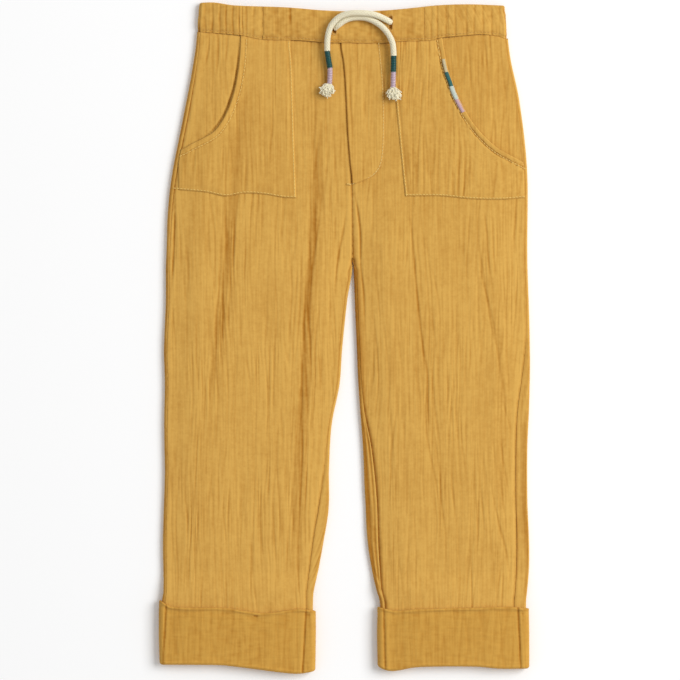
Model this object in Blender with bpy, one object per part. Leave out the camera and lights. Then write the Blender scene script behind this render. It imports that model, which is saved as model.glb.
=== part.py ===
"""Baby trousers of crinkled double gauze, laid flat with the front up.

Millimetres in the tables, metres in the meshes. +X is the wearer's left, +Y runs up to the waist
and +Z up off the surface. The origin is under the middle of the trousers.
"""
import math
from collections import namedtuple

import bmesh
import bpy
from mathutils import Vector

MM = 0.001

# Driving dimensions, in millimetres
SEAM_GAP = 0.3
SEAM_LIP = 0.02
WALL = 1.8
EDGE_RADIUS = 2.1
EDGE_HEIGHT = 2 * EDGE_RADIUS
RISE_WIDTH = 24.0
BAND_WALL = 2.2
BAND_EDGE_RADIUS = 2.5
BAND_CROWN = 1.2
BAND_PUFF = 0.5
BAND_FRONT_FROM = -56.2
BAND_FRONT_TO = 54.9
POCKET_WALL = 1.2
POCKET_GAP = 0.4
FLY_WALL = 1.0
CUFF_WALL = 1.6
CUFF_OUTSET = CUFF_WALL + SEAM_GAP
CUFF_TURN = (CUFF_OUTSET + WALL) / 2
CROTCH_Y = 52.4
CROTCH_BLEND = 6.0
LEGS_PART_FROM_Y = 105.0
WAIST_Y = 206.0
LEG_END_Y = -225.5
SLOT_WIDTH = 3.4
SLOT_HEIGHT = 9.4
RIM_WIDTH = 1.2
RIM_HEIGHT = 0.4
RIM_GAP = 0.15
RIM_OPENING = 130
CORD_DIAMETER = 4.2
GREEN_WRAP_DIAMETER = 3.8
LILAC_WRAP_DIAMETER = 3.4
BAR_WIDTH = 2.4
BAR_HEIGHT = 0.9

# Sections of each leg from waist to hem: where its rolled edges are across the body, and how far
# in from those edges its two seams lie on the front
Section = namedtuple("Section", "y outer inner outer_seam inner_seam")
RIGHT_SECTIONS = (
    Section(212, -101.0, 0.0, 2.1, 2.1),
    Section(192, -103.2, 0.0, 2.4, 2.1),
    Section(151, -111.4, 0.0, 3.0, 2.1),
    Section(102, -120.4, 0.0, 2.8, 2.1),
    Section(52, -123.1, 5.5, 2.4, 2.1),
    Section(26, -123.2, 1.9, 2.3, 2.1),
    Section(-8, -124.5, -1.6, 2.2, 2.1),
    Section(-32, -123.9, -3.4, 2.2, 2.1),
    Section(-60, -124.4, -8.8, 2.2, 2.2),
    Section(-90, -123.9, -10.6, 2.2, 3.2),
    Section(-117, -124.6, -10.8, 2.2, 7.2),
    Section(-140, -125.2, -14.2, 2.2, 7.6),
    Section(-160, -124.9, -17.9, 2.2, 6.4),
    Section(-174, -124.8, -21.0, 2.2, 5.0),
    Section(-182, -125.8, -21.6, 2.2, 4.6),
    Section(-204, -126.05, -21.6, 2.2, 4.6),
    Section(-231, -125.2, -22.0, 2.2, 4.6),
)
LEFT_SECTIONS = (
    Section(212, 112.0, 0.0, 2.1, 2.1),
    Section(192, 114.6, 0.0, 2.1, 2.1),
    Section(164, 120.6, 0.0, 2.1, 2.1),
    Section(116, 125.9, 0.0, 2.1, 2.1),
    Section(52, 126.1, 5.8, 2.1, 2.1),
    Section(19, 127.3, 7.3, 2.2, 2.1),
    Section(-8, 127.9, 8.5, 3.4, 2.1),
    Section(-28, 127.9, 9.3, 5.8, 2.2),
    Section(-50, 127.3, 10.8, 8.2, 2.8),
    Section(-76, 126.2, 12.7, 8.3, 5.8),
    Section(-112, 126.2, 14.2, 8.3, 8.0),
    Section(-140, 127.3, 15.9, 8.8, 7.2),
    Section(-160, 127.2, 18.9, 9.0, 5.4),
    Section(-174, 126.0, 22.0, 8.6, 3.4),
    Section(-182, 125.2, 24.3, 8.6, 3.2),
    Section(-204, 125.4, 24.3, 8.6, 3.2),
    Section(-231, 125.4, 24.8, 8.6, 3.2),
)

# The main folds: three places that a trough runs through, half its width, and its depth
Fold = namedtuple("Fold", "x1 y1 x2 y2 x3 y3 width depth")
RIGHT_FOLDS = (
    Fold(-72.1, 171.0, -77.6, 95.0, -96.3, -43.0, 6.0, 0.7),
    Fold(-19.7, 157.0, -25.2, 26.0, -33.5, -181.0, 4.5, 1.1),
    Fold(0.3, 92.0, -1.7, 68.0, -5.9, 42.0, 3.4, 0.7),
    Fold(-92.8, 209.0, -93.5, 192.0, -95.6, 164.0, 3.0, 0.5),
    Fold(-86.9, 209.0, -86.9, 190.0, -88.0, 166.0, 3.0, 0.5),
)
LEFT_FOLDS = (
    Fold(7.9, 99.0, 9.7, 68.0, 13.5, 26.0, 3.4, 0.8),
    Fold(41.7, 95.0, 52.1, 5.0, 70.0, -181.0, 5.0, 0.8),
    Fold(92.1, 95.0, 100.4, 5.0, 112.8, -181.0, 5.0, 0.9),
    Fold(85.2, 208.0, 86.9, 171.0, 88.7, 143.0, 3.2, 0.6),
    Fold(100.4, 208.0, 101.1, 171.0, 105.2, 123.0, 3.4, 0.5),
)

# Curves as (place, value) points: across the body, unless the name says otherwise
WAIST_SEAM = (
    (-103, 211.1), (-72, 208.4), (-57, 205.6), (-31, 204.9), (-13, 203.5), (0, 203.2), (28, 203.2),
    (38, 204.2), (59, 204.9), (66, 206.7), (80, 208.0), (94, 209.1), (105, 208.0), (112, 205.6),
)
WAIST_TOP = (
    (-100, 230.9), (-90, 231.15), (-76, 229.1), (-40, 227.7), (-14, 225.6), (8, 224.9), (28, 225.6),
    (48, 227.4), (64, 229.1), (85, 229.8), (109, 229.1),
)
CENTRE_FRONT_BY_Y = (
    (52, 5.6), (106, 5.2), (126, 3.8), (144, 2.4), (168, 1.4), (192, -0.3), (203, -2.1),
)
CROWN_BY_Y = (
    (-228, 0.8), (-170, 1.0), (-120, 1.5), (0, 1.8), (100, 1.8), (150, 1.6), (190, 1.0), (206, 0.6),
)
BACK_SEAM_ENDS = (-98.6, 109.6)
BAND_RIGHT_EDGE_BY_Y = ((205, -101.2), (212, -101.0), (231, -99.2))
BAND_LEFT_EDGE_BY_Y = ((205, 112.2), (212, 112.0), (229, 109.6))
RIGHT_CUFF_TOP = ((-127, -180.6), (-119, -184.6), (-82, -185.6), (-57, -189.0), (-30, -186.4), (-19, -188.2))
LEFT_CUFF_TOP = ((22, -184.9), (35, -187.4), (52, -186.3), (80, -185.6), (113, -184.9), (126, -186.2))
RIGHT_CUFF_BOTTOM = (
    (-127, -225.0), (-86, -225.2), (-75, -226.3), (-58, -228.4), (-42, -230.5), (-31, -231.15),
    (-20, -229.4),
)
LEFT_CUFF_BOTTOM = (
    (23, -226.6), (30, -229.1), (36, -229.1), (47, -227.0), (58, -226.3), (91, -226.3),
    (107, -227.7), (127, -227.7),
)

# Patch pockets: where the hand opening and the edge beside the fly run, down the body, and the
# lower edge, across it
RIGHT_MOUTH_BY_Y = (
    (129, -114.5), (131, -110.1), (134, -104.5), (138, -96.3), (142, -90.0), (149, -84.5), (156, -80.7),
    (164, -77.6), (172.5, -75.2), (181.5, -73.5), (190, -72.3), (207, -71.4),
)
LEFT_MOUTH_BY_Y = (
    (120, 125.5), (125, 115.6), (130.4, 105.9), (138.7, 96.3), (147.7, 88.7), (156, 83.5), (163.5, 79.4),
    (170.4, 76.2), (176.6, 74.2), (183, 71.8), (192, 69.7), (206, 67.3),
)
RIGHT_POCKET_INNER_BY_Y = ((97, -33.1), (130, -34.2), (164, -35.2), (192, -36.2), (202, -37.3))
LEFT_POCKET_INNER_BY_Y = ((97, 41.7), (130, 38.3), (161, 35.5), (192, 32.8), (203, 32.0))
RIGHT_POCKET_BOTTOM = (
    (-116, 102.1), (-95, 100.1), (-82, 97.6), (-69, 99.4), (-57, 99.0), (-42, 96.6), (-33, 96.3),
)
LEFT_POCKET_BOTTOM = ((42, 97.6), (66, 97.6), (87, 95.6), (107, 95.2), (126, 96.6))
FLY_EDGE_BY_Y = (
    (106.0, 6.6), (107.6, 11.4), (111.1, 19.0), (115.9, 23.8), (120.8, 25.9), (126.3, 26.9), (136.6, 27.6),
    (160.8, 27.6), (181.5, 26.6), (203, 24.5),
)

# Gathers of the elastic that show on the front: place, half width and depth
Gather = namedtuple("Gather", "x width depth")
GATHERS = (
    Gather(-96.0, 1.6, 0.5), Gather(-90.9, 1.5, 0.7), Gather(-85.9, 1.6, 0.8), Gather(-81.3, 1.4, 0.6),
    Gather(-76.9, 1.5, 0.8), Gather(-72.6, 1.4, 0.9), Gather(-67.8, 1.5, 0.8), Gather(-62.4, 1.8, 0.5),
    Gather(59.7, 1.7, 0.5), Gather(63.9, 1.4, 0.8), Gather(70.0, 1.8, 0.9), Gather(76.2, 1.7, 0.7),
    Gather(83.8, 1.9, 0.8), Gather(89.6, 1.6, 0.6), Gather(95.6, 1.8, 0.7), Gather(101.6, 1.7, 0.6),
    Gather(106.6, 1.4, 0.5),
)

# The drawstring's two free ends, each from its buttonhole to where its whipping starts
RIGHT_SLOT = (-7.0, 214.2)
LEFT_SLOT = (31.6, 217.0)
RIGHT_CORD_ROUTE = (
    (-6.7, 213.2, 6.3), (-5.2, 214.5, 7.95), (-3.6, 215.7, 8.8), (-1.0, 217.6, 9.15), (2.4, 219.3, 9.2),
    (7.2, 220.3, 9.2), (14.1, 220.1, 9.2), (20.4, 217.7, 9.2), (25.9, 213.9, 9.4), (30.4, 208.4, 9.6),
    (33.1, 202.2, 9.5), (33.8, 193.9, 9.4),
)
LEFT_CORD_ROUTE = (
    (31.8, 217.2, 6.3), (30.0, 218.2, 7.95), (28.2, 219.1, 8.9), (25.2, 220.5, 9.7), (21.7, 221.8, 10.8),
    (17.6, 222.7, 11.8), (10.7, 223.2, 12.6), (3.8, 222.9, 12.5), (-2.4, 221.1, 11.8), (-7.0, 217.5, 11.0),
    (-10.2, 212.5, 10.2), (-11.7, 205.6, 9.4), (-11.9, 197.3, 8.8),
)
RIGHT_GREEN_ROUTE = ((33.8, 193.5, 9.4), (33.7, 188.0, 9.3), (33.6, 182.9, 9.3))
RIGHT_LILAC_ROUTE = ((33.6, 182.5, 9.3), (33.5, 177.5, 9.2), (33.3, 172.6, 9.1))
LEFT_GREEN_ROUTE = ((-11.9, 196.9, 8.8), (-11.0, 191.3, 8.6), (-10.0, 185.9, 8.4))
LEFT_LILAC_ROUTE = ((-10.0, 185.5, 8.4), (-10.0, 180.0, 8.3), (-10.3, 175.1, 8.2))

# Satin-stitched bar along the left pocket's mouth: how far down each colour starts and ends
Bar = namedtuple("Bar", "name top bottom colour")
BARS = (
    Bar("bar_cream", 191.8, 183.1, (0.66, 0.55, 0.30)),
    Bar("bar_green", 182.7, 173.4, (0.05, 0.17, 0.16)),
    Bar("bar_mint", 173.0, 164.4, (0.68, 0.76, 0.66)),
    Bar("bar_lilac", 164.0, 155.6, (0.66, 0.47, 0.48)),
)

MUSTARD = (0.60, 0.33, 0.075)
CREAM = (0.80, 0.70, 0.50)
GREEN = (0.025, 0.11, 0.11)
LILAC = (0.56, 0.38, 0.47)


def clear_scene():
    for thing in list(bpy.data.objects):
        bpy.data.objects.remove(thing, do_unlink=True)


def finish(name, colour, roughness=0.9):
    """A Principled material of one colour."""
    material = bpy.data.materials.get(name) or bpy.data.materials.new(name)
    material.use_nodes = True
    shader = material.node_tree.nodes["Principled BSDF"]
    shader.inputs["Base Color"].default_value = (*colour, 1.0)
    shader.inputs["Roughness"].default_value = roughness
    shader.inputs["Metallic"].default_value = 0.0
    return material


def add_solid(name, points, faces, material):
    """One closed mesh object from points in millimetres."""
    shape = bmesh.new()
    corners = [shape.verts.new((x * MM, y * MM, z * MM)) for x, y, z in points]
    for face in faces:
        shape.faces.new([corners[i] for i in face])
    bmesh.ops.recalc_face_normals(shape, faces=shape.faces[:])
    mesh = bpy.data.meshes.new(name)
    shape.to_mesh(mesh)
    shape.free()
    mesh.materials.append(material)
    mesh.shade_smooth()
    mesh.set_sharp_from_angle(angle=math.radians(50))
    thing = bpy.data.objects.new(name, mesh)
    bpy.context.scene.collection.objects.link(thing)
    return thing


def ease(distance, width):
    """0 up to distance 0, 1 from distance width on, and smooth between."""
    part = min(max(distance / width, 0.0), 1.0)
    return part * part * (3 - 2 * part)


def read_curve(points, place):
    """Value at a place on a smooth curve through (place, value) points, held flat past its ends."""
    if place <= points[0][0]:
        return points[0][1]
    if place >= points[-1][0]:
        return points[-1][1]
    last = len(points) - 1
    k = next(i for i in range(last) if place <= points[i + 1][0])
    (start, low), (end, high) = points[k], points[k + 1]
    before, after = points[max(k - 1, 0)], points[min(k + 2, last)]
    slope_in = (high - before[1]) / (end - before[0])
    slope_out = (after[1] - low) / (after[0] - start)
    span = end - start
    t = (place - start) / span
    ends = low * (1 + 2 * t) * (1 - t) ** 2 + high * t * t * (3 - 2 * t)
    slopes = slope_in * t * (1 - t) ** 2 - slope_out * t * t * (1 - t)
    return ends + span * slopes


def column(sections, name):
    """One column of a leg's table as (place, value) points, from the hem up."""
    return [(row.y, getattr(row, name)) for row in reversed(sections)]


def fold_depth(folds, x, y):
    """How deep the troughs are at a place on the front."""
    depth = 0.0
    for fold in folds:
        if not fold.y3 < y < fold.y1:
            continue
        down = (y - fold.y2) * (y - fold.y3) / ((fold.y1 - fold.y2) * (fold.y1 - fold.y3))
        middle = (y - fold.y1) * (y - fold.y3) / ((fold.y2 - fold.y1) * (fold.y2 - fold.y3))
        end = (y - fold.y1) * (y - fold.y2) / ((fold.y3 - fold.y1) * (fold.y3 - fold.y2))
        across = x - (fold.x1 * down + fold.x2 * middle + fold.x3 * end)
        reach = (fold.y1 - fold.y3) * 0.25
        taper = ease(fold.y1 - y, reach) * ease(y - fold.y3, reach)
        depth += fold.depth * taper * math.exp(-((across / fold.width) ** 2))
    return depth


class Leg:
    """One half of the trousers: its outline, its two seams and the height of its front."""

    def __init__(self, side, sections, folds):
        self.side = side
        self.folds = folds
        self.columns = {name: column(sections, name) for name in Section._fields[1:]}

    def read(self, name, y):
        return read_curve(self.columns[name], y)

    def outer(self, y):
        return self.read("outer", y)

    def inner(self, y):
        """The leg's edge towards the other leg: the centre line above the crotch."""
        centre = read_curve(CENTRE_FRONT_BY_Y, y) + self.side * SEAM_GAP / 2
        parted = ease(CROTCH_Y + 4 - y, 8)
        return centre + parted * (self.read("inner", y) - centre)

    def lift(self, y):
        """How far the cuff's back wall lifts the leg off the surface."""
        return CUFF_OUTSET * ease(-160 - y, 17)

    def height(self, x, y):
        """Outer face of the front above the surface."""
        from_outer = (self.outer(y) - x) * self.side - EDGE_RADIUS
        from_inner = (x - self.inner(y)) * self.side - EDGE_RADIUS
        parted = ease(LEGS_PART_FROM_Y - y, LEGS_PART_FROM_Y - CROTCH_Y)
        dome = ease(from_outer, RISE_WIDTH) * (1 - parted * (1 - ease(from_inner, RISE_WIDTH)))
        crown = read_curve(CROWN_BY_Y, y) * dome
        pinch = 0.35 * (1 - ease(read_curve(WAIST_SEAM, x) - y, 5))
        troughs = fold_depth(self.folds, x, y) * ease(min(from_outer, from_inner + 60 * (1 - parted)), 8)
        return self.lift(y) + EDGE_HEIGHT + crown - pinch * ease(crown, 0.5) - troughs

    def curl(self, y):
        """Degrees that the back panel rolls up round the inner edge: none above the crotch."""
        return 180 * (1 - min(max((y - CROTCH_Y + CROTCH_BLEND) / (2 * CROTCH_BLEND), 0.0), 1.0))

    def front_edges(self, y):
        """Where the front panel ends across the body, at its outer and at its inner seam."""
        outer = self.outer(y) - self.side * (self.read("outer_seam", y) + SEAM_GAP)
        seam = self.read("inner_seam", y) + SEAM_GAP
        inner = self.inner(y) + self.side * seam * min(self.curl(y) / 90, 1.0)
        return outer, inner


RIGHT = Leg(-1, RIGHT_SECTIONS, RIGHT_FOLDS)
LEFT = Leg(1, LEFT_SECTIONS, LEFT_FOLDS)


def sheet_solid(name, outer_rows, inner_rows, material, keep=lambda row, place: True):
    """A closed wall between two grids of points with the same rows, without the cells not kept."""
    rows, places = len(outer_rows), len(outer_rows[0])
    points = [p for row in outer_rows for p in row] + [p for row in inner_rows for p in row]
    shift = rows * places
    kept = {(r, p) for r in range(rows - 1) for p in range(places - 1) if keep(r, p)}
    faces = []
    for r, p in sorted(kept):
        corners = ((r, p), (r, p + 1), (r + 1, p + 1), (r + 1, p))
        here = [a * places + b for a, b in corners]
        faces.append(tuple(here))
        faces.append(tuple(i + shift for i in reversed(here)))
        for k, beside in enumerate(((r - 1, p), (r, p + 1), (r + 1, p), (r, p - 1))):
            if beside not in kept:
                first, second = here[k], here[(k + 1) % 4]
                faces.append((second, first, first + shift, second + shift))
    used = sorted({i for face in faces for i in face})
    renumber = {old: new for new, old in enumerate(used)}
    faces = [tuple(renumber[i] for i in face) for face in faces]
    return add_solid(name, [points[i] for i in used], faces, material)


def spaced(start, end, count):
    """count + 1 even places from start to end."""
    return [start + (end - start) * k / count for k in range(count + 1)]


def leg_rows():
    """Heights down the body at which a leg has a row of points, closer where its shape changes."""
    upper = [WAIST_Y, WAIST_Y - 3, WAIST_Y - 8] + spaced(188, 68, 5)
    crotch = spaced(CROTCH_Y + CROTCH_BLEND, CROTCH_Y - CROTCH_BLEND, 4)
    lower = spaced(32, -160, 8) + [-169, -177, -183, -204, LEG_END_Y]
    return upper + crotch + lower


def waist_seam(x, at_back):
    """Height of the waist seam: curved on the front, and straight from side to side at the back."""
    if not at_back:
        return read_curve(WAIST_SEAM, x)
    right, left = BACK_SEAM_ENDS
    right_y, left_y = read_curve(WAIST_SEAM, right), read_curve(WAIST_SEAM, left)
    return right_y + (left_y - right_y) * min(max((x - right) / (left - right), 0.0), 1.0)


def place_down(leg, x, y, at_back=False):
    """A row's height, bent to the waist seam at the top and to the hem's fold at the bottom."""
    bottom = RIGHT_CUFF_BOTTOM if leg.side < 0 else LEFT_CUFF_BOTTOM
    waist = (waist_seam(x, at_back) - SEAM_GAP - WAIST_Y) * ease(y - 160, WAIST_Y - 160)
    leg_end = read_curve(bottom, x) + 2 * CUFF_TURN + 0.1
    hem = (leg_end - LEG_END_Y) * ease(-190 - y, -190 - LEG_END_Y)
    return y + waist + hem


def front_leg(name, leg, material):
    """Front panel, from its outer seam to its inseam or the centre front."""
    outer_rows, inner_rows = [], []
    for row in leg_rows():
        start, end = leg.front_edges(row)
        outer_row, inner_row = [], []
        for x in spaced(start, end, 21):
            y = place_down(leg, x, row)
            z = leg.height(x, row)
            outer_row.append((x, y, z))
            inner_row.append((x, y, z - WALL))
        outer_rows.append(outer_row[::-leg.side])
        inner_rows.append(inner_row[::-leg.side])
    return sheet_solid(name, outer_rows, inner_rows, material)


def rolled_edge(edge, side, floor, radius, inset, degrees):
    """Points of a wall that curls up from the surface round one edge, from the bottom on."""
    swept = radius / math.sin(math.radians(min(max(degrees, 0.5), 90)))
    points = []
    for k in range(5):
        angle = math.radians(max(degrees, 0.5) * k / 4)
        x = edge - side * radius + side * (swept - inset) * math.sin(angle)
        points.append((x, floor + swept - (swept - inset) * math.cos(angle)))
    return points


def back_leg(name, leg, material):
    """Back panel, flat on the surface and rolled up round the edges to the seams on the front."""
    outer_rows, inner_rows = [], []
    for y in leg_rows():
        outer, inner, floor, curl = leg.outer(y), leg.inner(y), leg.lift(y), leg.curl(y)
        outer_seam = outer - leg.side * (leg.read("outer_seam", y) + SEAM_LIP)
        inner_seam = inner + leg.side * (leg.read("inner_seam", y) + SEAM_LIP)
        for inset, rows in ((0.0, outer_rows), (WALL, inner_rows)):
            path = [(outer_seam, leg.height(outer_seam, y) - inset)]
            path += rolled_edge(outer, leg.side, floor, EDGE_RADIUS, inset, 180)[::-1]
            path += [(outer + (inner - outer) * part, floor + inset) for part in (0.35, 0.65)]
            path += rolled_edge(inner, -leg.side, floor, EDGE_RADIUS, inset, curl)
            if y < CROTCH_Y - CROTCH_BLEND + SEAM_LIP:
                path.append((inner_seam, leg.height(inner_seam, y) - inset))
            else:
                turn = math.radians(curl)
                x, z = path[-1]
                path.append((x - leg.side * SEAM_LIP * math.cos(turn), z + SEAM_LIP * math.sin(turn)))
            middle = floor + EDGE_RADIUS - SEAM_LIP
            rows.append([(x, place_down(leg, x, y, z < middle), z) for x, z in path][::leg.side])
    return sheet_solid(name, outer_rows, inner_rows, material)


def band_height(x, y):
    """Outer face of the waistband's front above the surface."""
    seam, top = read_curve(WAIST_SEAM, x), read_curve(WAIST_TOP, x)
    part = min(max((y - seam) / (top - seam), 0.0), 1.0)
    right_edge, left_edge = read_curve(BAND_RIGHT_EDGE_BY_Y, y), read_curve(BAND_LEFT_EDGE_BY_Y, y)
    inside = min(x - right_edge, left_edge - x) - BAND_EDGE_RADIUS
    puff = BAND_PUFF * math.sin(math.pi * part)
    return 2 * BAND_EDGE_RADIUS + (BAND_CROWN + puff) * ease(inside, RISE_WIDTH)


BAND_PARTS = (0.0, 0.08, 0.5, 0.92, 1.0)


def band_inset(part):
    """How much thinner the wall's outer face is near the folded top and the seam."""
    return 0.5 if part in (0.0, 1.0) else 0.0


def band_y(x, part, at_back=False):
    """A height between the waist seam, at part 0, and the folded top, at part 1."""
    seam, top = waist_seam(x, at_back), read_curve(WAIST_TOP, x)
    return seam + (top - seam) * part


def gather_depth(x, part):
    """Depth of the elastic's gathers on the front, shallower at the folded top."""
    wave = sum(g.depth * math.exp(-(((x - g.x) / g.width) ** 2)) for g in GATHERS)
    return wave * (1 - 0.35 * part)


def waistband_front(material):
    """Flat front part of the waistband, with a buttonhole for each end of the drawstring."""
    places = []
    for slot_x, _ in (RIGHT_SLOT, LEFT_SLOT):
        places += spaced(slot_x - 5.1, slot_x + 5.1, 9)
    start, end = BAND_FRONT_FROM + SEAM_GAP / 2, BAND_FRONT_TO - SEAM_GAP / 2
    places += spaced(start, min(places) - 8, 3) + spaced(places[9] + 7, places[10] - 7, 1)
    places += spaced(max(places) + 5, end, 1)
    places.sort()
    parts = spaced(0, 1, 15)
    middle = [0.5 * (a + b) for a, b in zip(places, places[1:])]

    def keep(row, place):
        x, y = middle[place], band_y(middle[place], 0.5 * (parts[row] + parts[row + 1]))
        for slot_x, slot_y in (RIGHT_SLOT, LEFT_SLOT):
            if abs(x - slot_x) < SLOT_WIDTH / 2 and abs(y - slot_y) < SLOT_HEIGHT / 2:
                return False
        clearance = CORD_DIAMETER / 2 + 1.15
        for route in (RIGHT_CORD_ROUTE, LEFT_CORD_ROUTE):
            for cx, cy, cz in smooth_route(route, 1.0):
                if cz < 9.0 and math.hypot(x - cx, y - cy) < clearance * ease(9.2 - cz, 0.5):
                    return False
        return True

    outer_rows, inner_rows = [], []
    for part in parts:
        outer_row, inner_row = [], []
        for x in places:
            y = band_y(x, part)
            z = band_height(x, y)
            outer_row.append((x, y, z - band_inset(part)))
            inner_row.append((x, y, z - BAND_WALL + band_inset(part)))
        outer_rows.append(outer_row)
        inner_rows.append(inner_row)
    return sheet_solid("waistband_front", outer_rows, inner_rows, material, keep)


def waistband_elastic(material):
    """Gathered elastic part, from the flat front round one side, the back and the other side."""
    outer_rows, inner_rows = [], []
    for part in BAND_PARTS:
        right_edge = read_curve(BAND_RIGHT_EDGE_BY_Y, band_y(0, part))
        left_edge = read_curve(BAND_LEFT_EDGE_BY_Y, band_y(0, part))
        thin = band_inset(part)
        for inset, rows in ((thin, outer_rows), (BAND_WALL - thin, inner_rows)):
            right_roll = rolled_edge(right_edge, -1, 0, BAND_EDGE_RADIUS, inset, 180)
            left_roll = rolled_edge(left_edge, 1, 0, BAND_EDGE_RADIUS, inset, 180)
            path = []
            for x in spaced(BAND_FRONT_FROM - SEAM_GAP / 2, right_edge + BAND_EDGE_RADIUS + 1.4, 28):
                waves = gather_depth(x, part) if inset < 1 else 0
                path.append((x, band_height(x, band_y(x, part)) - inset - waves))
            path += right_roll[::-1]
            path += [(x, inset) for x in spaced(right_edge * 0.6, left_edge * 0.6, 2)]
            path += left_roll
            for x in spaced(left_edge - BAND_EDGE_RADIUS - 1.4, BAND_FRONT_TO + SEAM_GAP / 2, 36):
                waves = gather_depth(x, part) if inset < 1 else 0
                path.append((x, band_height(x, band_y(x, part)) - inset - waves))
            middle = BAND_EDGE_RADIUS - SEAM_LIP
            rows.append([(x, band_y(x, part, z < middle), z) for x, z in path])
    return sheet_solid("waistband_elastic", outer_rows[::-1], inner_rows[::-1], material)


def pocket(name, leg, mouth, inner_edge, bottom, material):
    """Patch pocket on the front panel, open along its curved mouth at the side."""
    lowest = 97.0
    outer_rows, inner_rows = [], []
    for row in spaced(WAIST_Y, lowest, 18):
        side_seam = leg.front_edges(row)[0]
        mouth_x = read_curve(mouth, row)
        start = leg.side * min(mouth_x * leg.side, (side_seam - leg.side * SEAM_GAP) * leg.side)
        end = read_curve(inner_edge, row)
        outer_row, inner_row = [], []
        for x in spaced(start, end, 9):
            y = place_down(leg, x, row) + (read_curve(bottom, x) - lowest) * ease(125 - row, 125 - lowest)
            z = leg.height(x, y) + POCKET_GAP
            outer_row.append((x, y, z + POCKET_WALL))
            inner_row.append((x, y, z))
        outer_rows.append(outer_row[::-leg.side])
        inner_rows.append(inner_row[::-leg.side])
    return sheet_solid(name, outer_rows, inner_rows, material)


def mock_fly(material):
    """Fly facing beside the centre front, rounded at its lower end, with no opening."""
    outer_rows, inner_rows = [], []
    for row in (WAIST_Y, 192, 176, 160, 145, 134, 126, 120.5, 116, 112.5, 110, 108, 106.6):
        start = LEFT.inner(row)
        end = read_curve(FLY_EDGE_BY_Y, row)
        outer_row, inner_row = [], []
        for x in spaced(start, end, 6):
            y = place_down(LEFT, x, row)
            z = LEFT.height(x, y) + POCKET_GAP
            outer_row.append((x, y, z + FLY_WALL))
            inner_row.append((x, y, z))
        outer_rows.append(outer_row[::-1])
        inner_rows.append(inner_row[::-1])
    return sheet_solid("mock_fly", outer_rows, inner_rows, material)


def cuff_profile(top, bottom):
    """The turned-up hem in section, as (inset, height) points round a closed hook."""
    turn = CUFF_TURN
    slant = turn * (1 - math.cos(math.radians(45)))
    wall = CUFF_WALL
    round_start = bottom + turn
    ledge = bottom + 2 * turn - 0.5
    face = [(0.5, top), (0.0, top - 0.8)]
    face += [(0.0, top + (round_start - top) * part) for part in (0.33, 0.67)]
    fold = [(0.0, round_start), (slant, bottom + slant), (turn, bottom), (2 * turn - slant, bottom + slant)]
    hook = [(2 * turn, round_start), (2 * turn, ledge), (wall, ledge)]
    back = [(wall, top + (round_start - top) * part) for part in (0.67, 0.33)]
    return face + fold + hook + back + [(wall, top - 0.8), (wall - 0.5, top)]


def cuff(name, leg, top_edge, bottom_edge, material):
    """Turned-up cuff: a ring round the leg whose lower end folds in over the leg's end."""
    radius = EDGE_RADIUS + CUFF_OUTSET
    stations = [("floor", part) for part in (0.12, 0.5, 0.88)]
    stations += [("inner", angle) for angle in (15, 52, 90, 128, 165)]
    stations += [("top", part) for part in spaced(0.94, 0.06, 11)]
    stations += [("outer", angle) for angle in (165, 128, 90, 52, 15)]
    levels = len(cuff_profile(0, 0))
    rings = []
    for level in range(levels):
        ring = []
        inset = cuff_profile(0, 0)[level][0]
        for kind, where in stations:
            y = -205.0
            for _ in range(3):
                outer = leg.outer(y) + leg.side * CUFF_OUTSET
                inner = leg.inner(y) - leg.side * CUFF_OUTSET
                x, z = cuff_station(leg, kind, where, outer, inner, radius, inset, y)
                y = cuff_profile(read_curve(top_edge, x), read_curve(bottom_edge, x))[level][1]
            ring.append((x, y, z))
        rings.append(ring)
    count = len(stations)
    points = [p for ring in rings for p in ring]
    faces = []
    for level in range(levels):
        above = (level + 1) % levels
        for k in range(count):
            beside = (k + 1) % count
            quad = (level * count + k, level * count + beside, above * count + beside, above * count + k)
            faces.append(quad if leg.side > 0 else quad[::-1])
    return add_solid(name, points, faces, material)


def cuff_station(leg, kind, where, outer, inner, radius, inset, y):
    """One place round the cuff, across the body and above the surface."""
    if kind == "floor":
        return outer + (inner - outer) * where, inset
    if kind == "top":
        start, end = outer - leg.side * radius, inner + leg.side * radius
        x = start + (end - start) * where
        return x, leg.height(x, y) + CUFF_OUTSET - inset
    edge, side = (outer, leg.side) if kind == "outer" else (inner, -leg.side)
    angle = math.radians(where)
    x = edge - side * radius + side * (radius - inset) * math.sin(angle)
    return x, radius - (radius - inset) * math.cos(angle)


def smooth_route(points, step):
    """Places about a step apart on a smooth curve through the route's own points."""
    places = []
    last = len(points) - 1
    for k in range(last):
        before, start = Vector(points[max(k - 1, 0)]), Vector(points[k])
        end, after = Vector(points[k + 1]), Vector(points[min(k + 2, last)])
        slope_in, slope_out = (end - before) / 2, (after - start) / 2
        count = max(1, round((end - start).length / step))
        for i in range(count):
            t = i / count
            ends = start * (1 + 2 * t) * (1 - t) ** 2 + end * t * t * (3 - 2 * t)
            places.append(ends + slope_in * t * (1 - t) ** 2 - slope_out * t * t * (1 - t))
    return places + [Vector(points[last])]


def tube(name, route, diameter, step, material):
    """A plain round cord along a route, with closed ends."""
    curve = bpy.data.curves.new(name, "CURVE")
    curve.dimensions = "3D"
    curve.bevel_depth = diameter / 2 * MM
    curve.bevel_resolution = 3
    curve.use_fill_caps = True
    places = smooth_route(route, step)
    spline = curve.splines.new("POLY")
    spline.points.add(len(places) - 1)
    for point, (x, y, z) in zip(spline.points, places):
        point.co = (x * MM, y * MM, z * MM, 1.0)
    curve.materials.append(material)
    thing = bpy.data.objects.new(name, curve)
    bpy.context.scene.collection.objects.link(thing)
    return thing


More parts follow.
